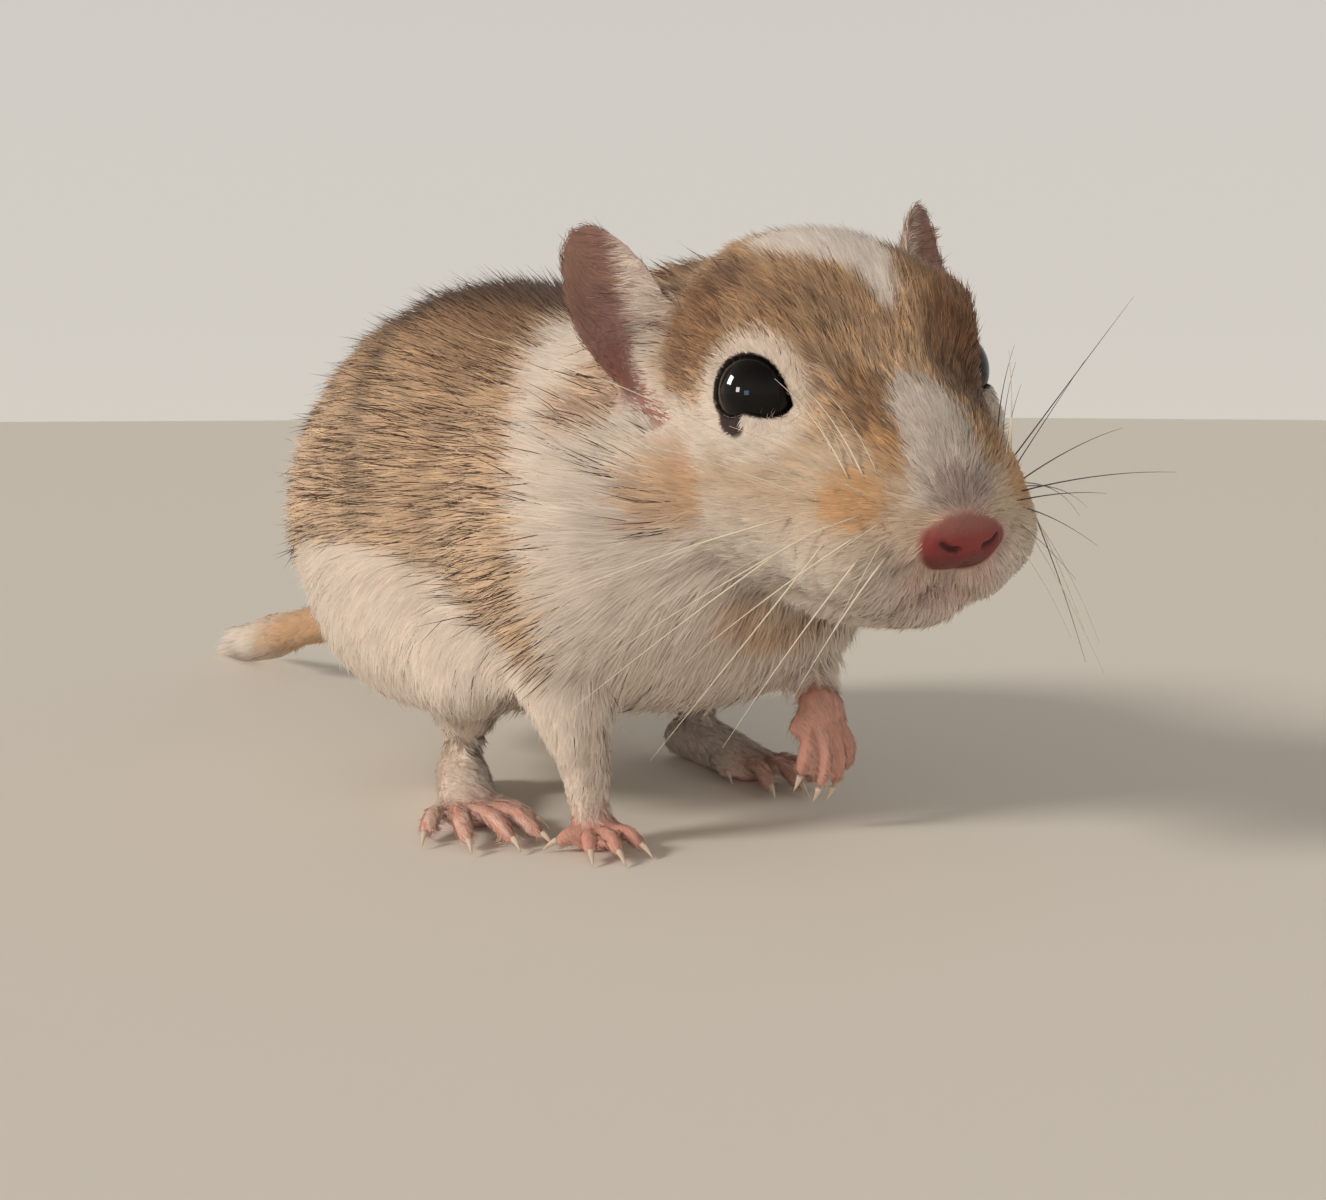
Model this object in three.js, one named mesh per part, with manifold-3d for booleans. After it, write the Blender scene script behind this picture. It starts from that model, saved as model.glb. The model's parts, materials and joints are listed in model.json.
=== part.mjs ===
// A life-size Mongolian gerbil, crouched on three feet with its left forepaw lifted, as a museum model.
// Millimetres. +Z is up, -Y is the way the animal faces, +X is its left.
// Each piece is modelled from the middle of the hind feet; the group at the end is centred on the floor.
import * as THREE from "three";
import { mergeVertices } from "three/addons/utils/BufferGeometryUtils.js";
import Module from "manifold-3d";

const wasm = await Module();
wasm.setup();

// Driving dimensions
const GAP = 0.3; // kept between neighbouring pieces
const RIGHT = -1;
const LEFT = 1;
const SIDES = { R: RIGHT, L: LEFT };

const BACK_TOP = 50.5; // height of the back over the floor
const BODY_WIDTH = 43;
const RUMP_END = 50; // how far the rump lies behind the middle of the hind feet
const EYE_RADIUS = 3.4;
const EAR_LENGTH = 17.5;
const EAR_WIDTH = 8.2;
const EAR_THICKNESS = 0.9;
const TAIL_RADIUS = 2.9; // with its coat

// Colours of the coat and the bare skin
const FINISH = {
  agouti: { color: 0x9a7650, roughness: 0.85, metalness: 0 },
  white_fur: { color: 0xded5cb, roughness: 0.85, metalness: 0 },
  bare_skin: { color: 0xd99a8e, roughness: 0.6, metalness: 0 },
  nose_skin: { color: 0xb0525c, roughness: 0.45, metalness: 0 },
  eye: { color: 0x07070a, roughness: 0.08, metalness: 0 },
  tail_fur: { color: 0xc9a173, roughness: 0.85, metalness: 0 },
};

const point = (x, y, z) => new THREE.Vector3(x, y, z);
const UP_Y = point(0, 1, 0);
const UP_Z = point(0, 0, 1);
const FAR_OUT = 60; // farther than any form reaches from its own middle line
const HALVINGS = 26;
const lerp = THREE.MathUtils.lerp;
const radians = THREE.MathUtils.degToRad;
const leaning = (degrees) => new THREE.Quaternion().setFromEuler(new THREE.Euler(radians(degrees), 0, 0));

// Solids: a closed three.js geometry to a manifold and back

function solid(geometry) {
  const bare = new THREE.BufferGeometry();
  bare.setAttribute("position", geometry.getAttribute("position"));
  if (geometry.index) bare.setIndex(geometry.index);
  const merged = mergeVertices(bare, 1e-4);
  const made = new wasm.Manifold(
    new wasm.Mesh({
      numProp: 3,
      vertProperties: new Float32Array(merged.attributes.position.array),
      triVerts: new Uint32Array(merged.index.array),
    }),
  );
  return made;
}

function geometryOf(manifold) {
  const mesh = manifold.getMesh();
  const positions = new Float32Array(mesh.numVert * 3);
  for (let i = 0; i < mesh.numVert; i++) {
    positions.set(mesh.vertProperties.subarray(i * mesh.numProp, i * mesh.numProp + 3), i * 3);
  }
  const geometry = new THREE.BufferGeometry();
  geometry.setAttribute("position", new THREE.BufferAttribute(positions, 3));
  geometry.setIndex(new THREE.BufferAttribute(mesh.triVerts, 1));
  return geometry;
}

function largest(manifold) {
  return manifold.decompose().reduce((a, b) => (a.volume() >= b.volume() ? a : b));
}

function joined(pieces) {
  return pieces.reduce((a, b) => a.add(b));
}

function cutBy(piece, ...cutters) {
  return largest(cutters.reduce((a, b) => a.subtract(b), piece));
}

// Fields: each is a function of a point, negative inside and near to a distance outside

function ellipsoid(centre, size, turn = new THREE.Quaternion()) {
  const back = turn.clone().invert();
  return (p) => {
    const q = p.clone().sub(centre).applyQuaternion(back);
    const near = Math.hypot(q.x / size.x, q.y / size.y, q.z / size.z);
    const steep = Math.hypot(q.x / size.x ** 2, q.y / size.y ** 2, q.z / size.z ** 2);
    return (near * (near - 1)) / Math.max(steep, 1e-9);
  };
}

function blended(fields, softness) {
  return (p) =>
    fields
      .map((field) => field(p))
      .reduce((a, b) => {
        const h = Math.max(softness - Math.abs(a - b), 0) / softness;
        return Math.min(a, b) - (h * h * softness) / 4;
      });
}

// A ball whose rings are strung along a line, each vertex pushed straight out to where the field ends
function moulded(field, from, to, sides, rings, extra = 0) {
  const ball = new THREE.SphereGeometry(1, sides, rings);
  const turn = new THREE.Quaternion().setFromUnitVectors(UP_Y, to.clone().sub(from).normalize());
  const places = ball.getAttribute("position");
  for (let i = 0; i < places.count; i++) {
    const unit = new THREE.Vector3().fromBufferAttribute(places, i);
    const start = from.clone().lerp(to, 0.5 + 0.5 * unit.y);
    const out = point(unit.x, unit.y * Math.abs(unit.y), unit.z).normalize().applyQuaternion(turn);
    let inside = 0;
    let outside = FAR_OUT;
    for (let step = 0; step < HALVINGS; step++) {
      const middle = (inside + outside) / 2;
      if (field(start.clone().addScaledVector(out, middle)) < extra) inside = middle;
      else outside = middle;
    }
    start.addScaledVector(out, inside);
    places.setXYZ(i, start.x, start.y, start.z);
  }
  return solid(ball);
}

// A ball drawn out along a smooth curve. Each station has a place, a half width and a half height.
function drawn(stations, sides, rings, up = UP_Z, extra = 0) {
  const ball = new THREE.SphereGeometry(1, sides, rings);
  const curve = curveOf(stations);
  const sizes = new THREE.CatmullRomCurve3(
    stations.map((s, i) => point(s.wide, s.high ?? s.wide, i)),
    false,
    "catmullrom",
    0.4,
  );
  const length = curve.getLength();
  const places = ball.getAttribute("position");
  for (let i = 0; i < places.count; i++) {
    const unit = new THREE.Vector3().fromBufferAttribute(places, i);
    const along = Math.acos(THREE.MathUtils.clamp(unit.y, -1, 1)) / Math.PI;
    const ring = Math.hypot(unit.x, unit.z);
    const size = sizes.getPoint(along);
    const end = Math.min(along, 1 - along) * length;
    const round = Math.min(size.x, size.y) + extra;
    const cap = end < round ? Math.sqrt(Math.max(0, 1 - (1 - end / round) ** 2)) : 1;
    const reach = ring < 1e-6 ? 0 : cap / ring;
    const tangent = curve.getTangent(along);
    const side = new THREE.Vector3().crossVectors(up, tangent).normalize();
    const rise = new THREE.Vector3().crossVectors(tangent, side);
    const place = curve.getPoint(along);
    place.addScaledVector(side, unit.x * reach * (size.x + extra));
    place.addScaledVector(rise, unit.z * reach * (size.y + extra));
    place.addScaledVector(tangent, (along - 0.5) * 2 * extra);
    places.setXYZ(i, place.x, place.y, place.z);
  }
  return solid(ball);
}

function curveOf(stations) {
  return new THREE.CatmullRomCurve3(stations.map((s) => point(...s.at)), false, "centripetal");
}

const floorCutter = solid(new THREE.BoxGeometry(400, 400, 20).translate(0, 0, -10));

// Torso: rib cage, belly and rump as one soft form

const torsoField = blended(
  [
    ellipsoid(point(0.5, -5, 28.2), point(15.2, 19, 18.4)),
    ellipsoid(point(0, 21, 28.5), point(BODY_WIDTH / 2 - 1, 27, BACK_TOP - 28.5)),
    ellipsoid(point(0, 33, 24), point(17, RUMP_END - 33, 18)),
    ellipsoid(point(-12, -7, 24), point(7, 9, 11)),
    ellipsoid(point(12, -8, 24), point(7, 9, 11)),
  ],
  9,
);

function torso(extra = 0) {
  return moulded(torsoField, point(0, 40, 25), point(0, -14, 29), 36, 28, extra);
}

// Neck: short and thick, from between the shoulders to the back of the skull

const neckField = blended(
  [ellipsoid(point(0.6, -6, 35.5), point(13, 12, 14)), ellipsoid(point(2.6, -12.5, 36), point(10, 9.5, 14.6))],
  6,
);

function neck(extra = 0) {
  return moulded(neckField, point(0.6, -3, 36), point(3, -14.5, 36), 24, 12, extra);
}

// Head, in its own frame: the origin is midway between the eyes, -Y is towards the nose

const HEAD_PLACE = point(2.6, -27.7, 38.9);
const HEAD_TURN = new THREE.Euler(radians(19), radians(-6), radians(-12), "ZYX");
const EYE_PLACE = { side: 8.5, back: 0.5, up: 0.9 };
const EYE_AXIS = { side: 0.84, back: -0.48, up: 0.24 };
const LID_SEAT = 1.3; // how far the plane of the lids lies outside the middle of the eyeball

const headPose = new THREE.Matrix4().compose(
  HEAD_PLACE,
  new THREE.Quaternion().setFromEuler(HEAD_TURN),
  point(1, 1, 1),
);
const headSpace = (manifold) => manifold.transform(headPose.clone().invert().toArray());
const eyeCentre = (side) => point(side * EYE_PLACE.side, EYE_PLACE.back, EYE_PLACE.up);
const eyeAxis = (side) => point(side * EYE_AXIS.side, EYE_AXIS.back, EYE_AXIS.up).normalize();

const headField = blended(
  [
    ellipsoid(point(0, 7.6, 0.4), point(12.6, 13.4, 10.6)), // braincase
    ellipsoid(point(0, -5.4, -1.6), point(7.6, 8.4, 5.8)), // bridge of the nose
    ellipsoid(point(0, -10.6, -4.8), point(5, 5.0, 4.0)), // muzzle
    ellipsoid(point(-5.4, -8.2, -7.5), point(4.8, 6, 5.6)), // whisker pads
    ellipsoid(point(5.4, -8.2, -7.5), point(4.8, 6, 5.6)),
    ellipsoid(point(-8, 2.4, -6.4), point(5.8, 9, 8)), // cheeks
    ellipsoid(point(8, 2.4, -6.4), point(5.8, 9, 8)),
    ellipsoid(point(-7.2, 0.4, 4.6), point(4.2, 5.4, 3.6)), // brows
    ellipsoid(point(7.2, 0.4, 4.6), point(4.2, 5.4, 3.6)),
    ellipsoid(point(0, 1.6, -11.4), point(9.4, 9.5, 6.8)), // throat
  ],
  4.2,
);

function headForm(extra = 0) {
  return moulded(headField, point(0, 9, -2), point(0, -9.5, -5.5), 40, 30, extra);
}

function eyeball(side, extra = 0) {
  const ball = new THREE.SphereGeometry(EYE_RADIUS + extra, 16, 12);
  ball.applyQuaternion(new THREE.Quaternion().setFromUnitVectors(UP_Y, eyeAxis(side)));
  return solid(ball.translate(...eyeCentre(side).toArray()));
}

// The hollow round the eye, from which the eyeball stands out
function orbit(side) {
  const dish = new THREE.SphereGeometry(1, 22, 12);
  dish.scale(4.5, 2.8, 4.5);
  dish.applyQuaternion(new THREE.Quaternion().setFromUnitVectors(UP_Y, eyeAxis(side)));
  return solid(dish.translate(...eyeCentre(side).addScaledVector(eyeAxis(side), LID_SEAT + 2.7).toArray()));
}

// The rims of the lids: a soft ring round the eye, drawn to a point at the corner nearest the nose
function lids(side) {
  const ring = new THREE.TorusGeometry(3.1, 0.55, 6, 24);
  const places = ring.getAttribute("position");
  for (let i = 0; i < places.count; i++) {
    const at = new THREE.Vector3().fromBufferAttribute(places, i);
    const corner = Math.max(0, at.x / 3.65) ** 4;
    places.setXYZ(i, at.x + corner * 0.8, at.y * (1 - 0.4 * corner), at.z - corner * 0.5);
  }
  const outward = eyeAxis(side);
  const ahead = point(0, -1, -0.12).addScaledVector(outward, outward.y).normalize();
  const across = new THREE.Vector3().crossVectors(outward, ahead);
  ring.applyMatrix4(new THREE.Matrix4().makeBasis(ahead, across, outward));
  return solid(ring.translate(...eyeCentre(side).addScaledVector(outward, LID_SEAT).toArray()));
}

function nose(extra = 0) {
  const pad = blended(
    [
      ellipsoid(point(0, -14.4, -5), point(2.7, 2.1, 2.0)),
      ellipsoid(point(-1.2, -14.9, -5.8), point(1.5, 1.5, 1.5)),
      ellipsoid(point(1.2, -14.9, -5.8), point(1.5, 1.5, 1.5)),
    ],
    1,
  );
  return moulded(pad, point(-0.9, -14.3, -5.3), point(0.9, -14.3, -5.3), 14, 10, extra);
}

function nostril(side) {
  const hole = new THREE.SphereGeometry(1, 8, 6);
  hole.scale(0.8, 0.9, 0.45).rotateY(side * -0.5);
  return solid(hole.translate(side * 1.7, -16, -5.8));
}

// The lower jaw, parted from the head along the line of the mouth
function lowerJaw(extra = 0) {
  const jaw = blended(
    [
      ellipsoid(point(0, -8.8, -12.2), point(5.4, 5.8, 3.4)),
      ellipsoid(point(0, -2, -13.6), point(7.8, 7.4, 4.6)),
    ],
    3,
  );
  return moulded(jaw, point(0, 0, -13.2), point(0, -10.3, -11.8), 18, 12, extra);
}

// Whiskers: stiff sensing hairs in rows on the pads beside the nose, the hindmost of them the longest
const WHISKER = { rows: 3, columns: 3, shortest: 15, longest: 23, radius: 0.36, sunk: 2.4, sides: 3 };

function whisker(side, row, column) {
  const back = column / (WHISKER.columns - 1);
  const low = row / (WHISKER.rows - 1);
  const root = point(side * (6 + 2.2 * back), -12.6 + 3.8 * back, -3.8 - 4.2 * low);
  const out = point(side * 0.85, -0.42 + 0.7 * back, 0.42 - 0.8 * low).normalize();
  const across = new THREE.Vector3().crossVectors(out, UP_Z).normalize();
  const rise = new THREE.Vector3().crossVectors(across, out);
  const long = lerp(WHISKER.shortest, WHISKER.longest, back);
  const hair = new THREE.ConeGeometry(1, 1, WHISKER.sides, 3).translate(0, 0.5, 0);
  const places = hair.getAttribute("position");
  for (let i = 0; i < places.count; i++) {
    const at = new THREE.Vector3().fromBufferAttribute(places, i);
    const radius = at.y < 1 ? (WHISKER.radius * (1 - 0.3 * at.y)) / (1 - at.y) : 0;
    const place = root.clone().addScaledVector(out, at.y * long - (1 - at.y) * WHISKER.sunk);
    place.add(point(0, 0.12, -0.16 - 0.03 * row).multiplyScalar(long * at.y ** 2));
    place.addScaledVector(across, at.x * radius).addScaledVector(rise, at.z * radius);
    places.setXYZ(i, place.x, place.y, place.z);
  }
  return solid(hair);
}

function whiskers() {
  const hairs = [];
  for (const side of [RIGHT, LEFT]) {
    for (let row = 0; row < WHISKER.rows; row++) {
      for (let column = 0; column < WHISKER.columns; column++) hairs.push(whisker(side, row, column));
    }
  }
  return hairs;
}

// Ears: a thin oval cup, narrow at the root, open forwards and outwards

const EAR_ROOT = { side: 11.2, back: 10.6, up: -5.2 };
const EAR_UP = { side: 0.21, back: 0.43, up: 0.88 };
const EAR_OPEN = { side: 0.5, back: -0.83, up: 0.2 };

function ear(side, extra = 0) {
  const sides = 24;
  const rings = 10;
  const shell = new THREE.SphereGeometry(1, sides, rings);
  const places = shell.getAttribute("position");
  for (let i = 0; i < places.count; i++) {
    const unit = new THREE.Vector3().fromBufferAttribute(places, i);
    const flat = Math.hypot(unit.x, unit.z);
    const spread = flat ** 0.85 / (flat || 1);
    const across = unit.x * spread;
    const along = unit.z * spread;
    const narrowing = lerp(1, 0.55, Math.max(0, 0.1 - along) ** 1.4);
    const rims = lerp(3.6, 1.4, 0.5 + 0.5 * along) * across * across;
    const thick = (EAR_THICKNESS / 2) * lerp(1.4, 0.8, 0.5 + 0.5 * along) + extra;
    places.setXYZ(
      i,
      across * (EAR_WIDTH / 2 + extra) * narrowing,
      rims + 0.9 * along * along + Math.sign(unit.y) * Math.abs(unit.y) ** 0.7 * thick,
      along * (EAR_LENGTH / 2 + extra) + EAR_LENGTH / 2,
    );
  }
  alikeFaces(shell, sides, rings);
  const up = point(side * EAR_UP.side, EAR_UP.back, EAR_UP.up).normalize();
  const open = point(side * EAR_OPEN.side, EAR_OPEN.back, EAR_OPEN.up);
  open.addScaledVector(up, -open.dot(up)).normalize();
  const across = new THREE.Vector3().crossVectors(open, up);
  shell.applyMatrix4(new THREE.Matrix4().makeBasis(across, open, up));
  return solid(shell.translate(side * EAR_ROOT.side, EAR_ROOT.back, EAR_ROOT.up));
}

// Splits the quads of both faces of a flattened ball alike, so that a thin shell stays even
function alikeFaces(ball, sides, rings) {
  const index = [];
  const at = (row, column) => row * (sides + 1) + column;
  for (let row = 0; row < rings; row++) {
    for (let column = 0; column < sides; column++) {
      const a = at(row, column + 1);
      const b = at(row, column);
      const c = at(row + 1, column);
      const d = at(row + 1, column + 1);
      if (row === 0) index.push(b, c, d);
      else if (row === rings - 1) index.push(a, b, d);
      else if (row < rings / 2) index.push(a, b, d, b, c, d);
      else index.push(a, b, c, a, c, d);
    }
  }
  ball.setIndex(index);
}

// Forelegs: the right one bears on the floor, the left one is lifted with the paw hanging

const FORELEG = {
  R: [
    { at: [-10.5, -8, 27], wide: 5.5, high: 8 },
    { at: [-13.5, -6.5, 19], wide: 4.6, high: 6.5 },
    { at: [-12.8, -8.8, 12.5], wide: 3.3, high: 4 },
    { at: [-11.2, -8.8, 7], wide: 2.4, high: 2.6 },
    { at: [-10.4, -8.4, 2.2], wide: 2.1, high: 2.1 },
  ],
  L: [
    { at: [10, -9, 27], wide: 5.5, high: 8 },
    { at: [11.5, -8, 20], wide: 4.6, high: 5.4 },
    { at: [10.5, -12, 15.5], wide: 3.2, high: 3.2 },
    { at: [9.2, -16.2, 12.6], wide: 2.2, high: 2.2 },
  ],
};

// Forepaws: a palm, four long fingers and a stub of a thumb, each finger with a claw
const FOREPAW = {
  R: {
    palm: [
      { at: [-10.4, -7.8, 3.2], wide: 2.0, high: 1.8 },
      { at: [-10.6, -9.8, 1.3], wide: 2.4, high: 1.5 },
      { at: [-10.8, -11.2, 0.8], wide: 2.3, high: 1.1 },
    ],
    fingers: [
      { root: [-11.2, -9.6, 1.5], knuckle: [-13, -9.4, 1.8], tip: [-14.2, -8.6, 0.5] },
      { root: [-11.2, -10, 1.5], knuckle: [-12.9, -11.9, 1.9], tip: [-13.6, -13.4, 0.5] },
      { root: [-10.8, -10.2, 1.5], knuckle: [-11.4, -13, 2], tip: [-11.7, -14.9, 0.5] },
      { root: [-10, -10, 1.5], knuckle: [-9.3, -12.6, 1.9], tip: [-8.9, -14.3, 0.5] },
    ],
    thumb: { root: [-9.9, -9.4, 1.6], knuckle: [-8.2, -10.6, 1.5], tip: [-7.2, -11.6, 0.5] },
    up: UP_Z,
  },
  L: {
    palm: [
      { at: [9, -15.2, 13.1], wide: 2.0, high: 1.7 },
      { at: [8.8, -16.8, 11.1], wide: 2.4, high: 1.5 },
      { at: [8.7, -17.4, 9.3], wide: 2.3, high: 1.2 },
    ],
    fingers: [
      { root: [7.8, -16.6, 11.3], knuckle: [6.2, -17.6, 7.9], tip: [6.2, -16.8, 5.3] },
      { root: [8.4, -17, 10.7], knuckle: [7.8, -18.4, 7.1], tip: [7.9, -17.4, 4.1] },
      { root: [9.2, -17, 10.7], knuckle: [9.5, -18.4, 7.1], tip: [9.5, -17.4, 4] },
      { root: [9.8, -16.6, 11.1], knuckle: [11.2, -17.7, 7.7], tip: [11.1, -16.8, 5] },
    ],
    thumb: { root: [8.2, -16.2, 11.9], knuckle: [6.4, -16.4, 10.5], tip: [5.6, -16.2, 8.9] },
    up: point(0, -1, 0.3),
  },
};

function toe({ root, knuckle, tip }, radius, up) {
  const stations = [
    { at: root, wide: radius },
    { at: knuckle, wide: radius * 0.95 },
    { at: tip, wide: radius * 0.8 },
  ];
  return drawn(stations, 6, 6, up);
}

// A claw runs on from the last joint of its toe and turns down
function claw({ knuckle, tip }, radius, long) {
  const ahead = point(...tip).sub(point(...knuckle)).normalize();
  const start = point(...tip).addScaledVector(ahead, radius * 0.2);
  const middle = start.clone().addScaledVector(ahead, long * 0.6).add(point(0, 0, 0.1));
  const end = start.clone().addScaledVector(ahead, long).add(point(0, 0, -0.3 * long));
  return drawn(
    [
      { at: start.toArray(), wide: radius * 0.45 },
      { at: middle.toArray(), wide: radius * 0.32 },
      { at: end.toArray(), wide: radius * 0.1 },
    ],
    5,
    4,
    Math.abs(ahead.z) > 0.8 ? point(0, 1, 0) : UP_Z,
  );
}

function forepaw({ palm, fingers, thumb, up }) {
  const digits = fingers.flatMap((f) => [toe(f, 0.8, up), claw(f, 0.85, 1.5)]);
  return joined([drawn(palm, 14, 9, up), ...digits, toe(thumb, 0.7, up)]);
}

// Hind legs: a broad thigh with the knee close to the elbow, and the shank running back under it

const HIND_LEG = {
  R: { thigh: [-14, 18, 18.5], knee: [-16.2, 1.5, 16], shank: [[-15, 4, 12], [-12, 11, 8.5], [-9.6, 16.4, 5]] },
  L: { thigh: [14, 18, 18.5], knee: [16.2, 1.5, 16], shank: [[15, 4, 12], [16.4, 11, 8.5], [17.4, 16, 5]] },
};

function hindLeg({ thigh, knee, shank }, extra = 0) {
  const field = blended(
    [
      ellipsoid(point(...thigh), point(8, 18, 9.5), leaning(10)),
      ellipsoid(point(...knee), point(5, 6, 5.5)),
    ],
    6,
  );
  const form = moulded(field, point(thigh[0], 26, 19), point(knee[0] * 0.95, 3, 17), 22, 16, extra);
  const widths = [4, 3, 2.3];
  return form.add(drawn(shank.map((at, i) => ({ at, wide: widths[i] })), 12, 8, UP_Z, extra));
}

// Hind feet: a long flat sole, three long middle toes and a shorter one on each side
const HIND_FOOT = {
  R: {
    sole: [[-8.7, 18.8, 2], [-11.6, 12.4, 2.3], [-14.4, 6.4, 1.7], [-16.6, 1, 1.1]],
    toes: [
      { root: [-15.6, 5.6, 1.5], knuckle: [-20, 2.6, 1.8], tip: [-22.4, -0.4, 0.6] },
      { root: [-16.4, 4.2, 1.6], knuckle: [-19.2, -1, 2.2], tip: [-20.4, -4.8, 0.6] },
      { root: [-16, 3.6, 1.6], knuckle: [-16.9, -2.8, 2.3], tip: [-17, -6.6, 0.6] },
      { root: [-15.2, 3.8, 1.6], knuckle: [-14.6, -2.8, 2.2], tip: [-14, -6.6, 0.6] },
      { root: [-14.6, 5.4, 1.5], knuckle: [-12.8, 1, 1.7], tip: [-11.6, -1.8, 0.6] },
    ],
  },
  L: {
    sole: [[17.6, 18.6, 2], [17.4, 11.6, 2.3], [16.8, 5, 1.7], [16.6, 0.6, 1.1]],
    toes: [
      { root: [17.2, 5.2, 1.5], knuckle: [20, 1.4, 1.8], tip: [21.4, -1.4, 0.6] },
      { root: [17.2, 3.6, 1.6], knuckle: [18.7, -1.8, 2.2], tip: [19, -5, 0.6] },
      { root: [16.6, 3, 1.6], knuckle: [16.4, -2.6, 2.3], tip: [15.9, -6, 0.6] },
      { root: [16, 3.4, 1.6], knuckle: [14.2, -1.6, 2.2], tip: [13.1, -4.6, 0.6] },
      { root: [16, 8.4, 1.5], knuckle: [14.2, 5, 1.7], tip: [13.4, 2.6, 0.6] },
    ],
  },
};

function hindSole({ sole }, extra = 0) {
  const widths = [2.2, 2.5, 2.7, 2.9];
  const heights = [2.2, 2.6, 2.1, 1.5];
  return drawn(sole.map((at, i) => ({ at, wide: widths[i], high: heights[i] })), 14, 10, UP_Z, extra);
}

function hindFoot(foot) {
  const digits = foot.toes.flatMap((t) => [toe(t, 0.95, UP_Z), claw(t, 0.95, 1.8)]);
  return joined([hindSole(foot), ...digits]);
}

// Tail: straight back from the rump, sinking until its brush of long hair lies on the floor

const TAIL_LINE = [
  { at: [0, 41, 15.5], wide: TAIL_RADIUS * 1.3 },
  { at: [0.2, 52, 13.4], wide: TAIL_RADIUS * 1.1 },
  { at: [0.6, 64, 11.4], wide: TAIL_RADIUS },
  { at: [1, 76, 9.2], wide: TAIL_RADIUS * 0.95 },
  { at: [1.6, 87, 6.8], wide: TAIL_RADIUS * 0.85 },
  { at: [2.4, 97, 4.6], wide: TAIL_RADIUS * 0.66 },
  { at: [3.2, 105, 3.3], wide: TAIL_RADIUS * 0.5 },
];
const TAIL_CUTS = [0.4, 0.76];

function tail() {
  return drawn(TAIL_LINE, 12, 28);
}

// Thin slabs across the tail's curve part it into lengths
function tailSlab(share) {
  const curve = curveOf(TAIL_LINE);
  const slab = new THREE.BoxGeometry(20, 20, GAP);
  slab.applyQuaternion(new THREE.Quaternion().setFromUnitVectors(UP_Z, curve.getTangent(share)));
  return solid(slab.translate(...curve.getPoint(share).toArray()));
}

// The brush: flat tapered locks in staggered rings, lying back along the tail and past its end
const BRUSH = { from: 0.8, to: 0.985, rings: 4, around: 5, long: 11.5, spread: 2.9, wide: 1.15, thick: 0.36 };

function seeded(seed) {
  let state = seed;
  return () => {
    state = (state * 16807) % 2147483647;
    return state / 2147483647;
  };
}

function lock(curve, share, angle, long, spread) {
  const tangent = curve.getTangent(share);
  const across = new THREE.Vector3().crossVectors(tangent, UP_Z).normalize();
  const upward = new THREE.Vector3().crossVectors(across, tangent);
  const out = across.multiplyScalar(Math.cos(angle)).addScaledVector(upward, Math.sin(angle));
  const root = curve.getPoint(share);
  const steps = [
    { along: 0, away: 0.25, size: 0.7 },
    { along: 0.4, away: 0.85, size: 1 },
    { along: 0.75, away: 1, size: 0.7 },
    { along: 1, away: 0.8, size: 0.2 },
  ];
  const stations = steps.map(({ along, away, size }) => {
    const at = root.clone().addScaledVector(tangent, along * long).addScaledVector(out, away * spread);
    at.z = Math.max(at.z, BRUSH.thick * 0.7);
    return { at: at.toArray(), wide: BRUSH.wide * size, high: BRUSH.thick * Math.max(size, 0.4) };
  });
  return drawn(stations, 4, 4, out);
}

function brush() {
  const draw = seeded(5);
  const curve = curveOf(TAIL_LINE);
  const locks = [];
  for (let ring = 0; ring < BRUSH.rings; ring++) {
    const share = lerp(BRUSH.from, BRUSH.to, ring / (BRUSH.rings - 1));
    const spread = BRUSH.spread * lerp(0.85, 1, Math.sin((Math.PI * ring) / BRUSH.rings));
    for (let k = 0; k < BRUSH.around; k++) {
      const angle = (2 * Math.PI * (k + 0.5 * (ring % 2) + 0.3 * draw())) / BRUSH.around;
      locks.push(lock(curve, share, angle, BRUSH.long * lerp(0.8, 1.05, draw()), spread * lerp(0.85, 1.1, draw())));
    }
  }
  return locks;
}

// Assembly: each node is cut clear of what it grows from

const gerbil = new THREE.Group();
const headGroup = new THREE.Group();
headGroup.position.copy(HEAD_PLACE);
headGroup.setRotationFromEuler(HEAD_TURN);
gerbil.add(headGroup);

function add(name, manifold, finish, parent = gerbil) {
  const mesh = new THREE.Mesh(geometryOf(manifold), new THREE.MeshStandardMaterial(FINISH[finish]));
  mesh.name = name;
  parent.add(mesh);
}

const torsoRoom = torso(GAP);
const neckRoom = neck(GAP);
const behindHead = headSpace(neckRoom.add(torsoRoom));
const jawRoom = lowerJaw(GAP);
const headRoom = headForm(GAP);
add("torso", torso(), "agouti");
add("neck", cutBy(neck(), torsoRoom), "agouti");

const socketed = headForm().subtract(orbit(RIGHT)).subtract(orbit(LEFT));
const skull = joined([socketed, lids(RIGHT), lids(LEFT), ...whiskers()]);
const sockets = [eyeball(RIGHT, GAP), eyeball(LEFT, GAP)];
add("head", cutBy(skull, behindHead, ...sockets, jawRoom, nose(GAP)), "agouti", headGroup);
add("lower_jaw", cutBy(lowerJaw(), behindHead), "white_fur", headGroup);
add("nose", cutBy(nose(), nostril(RIGHT), nostril(LEFT), jawRoom), "nose_skin", headGroup);

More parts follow.
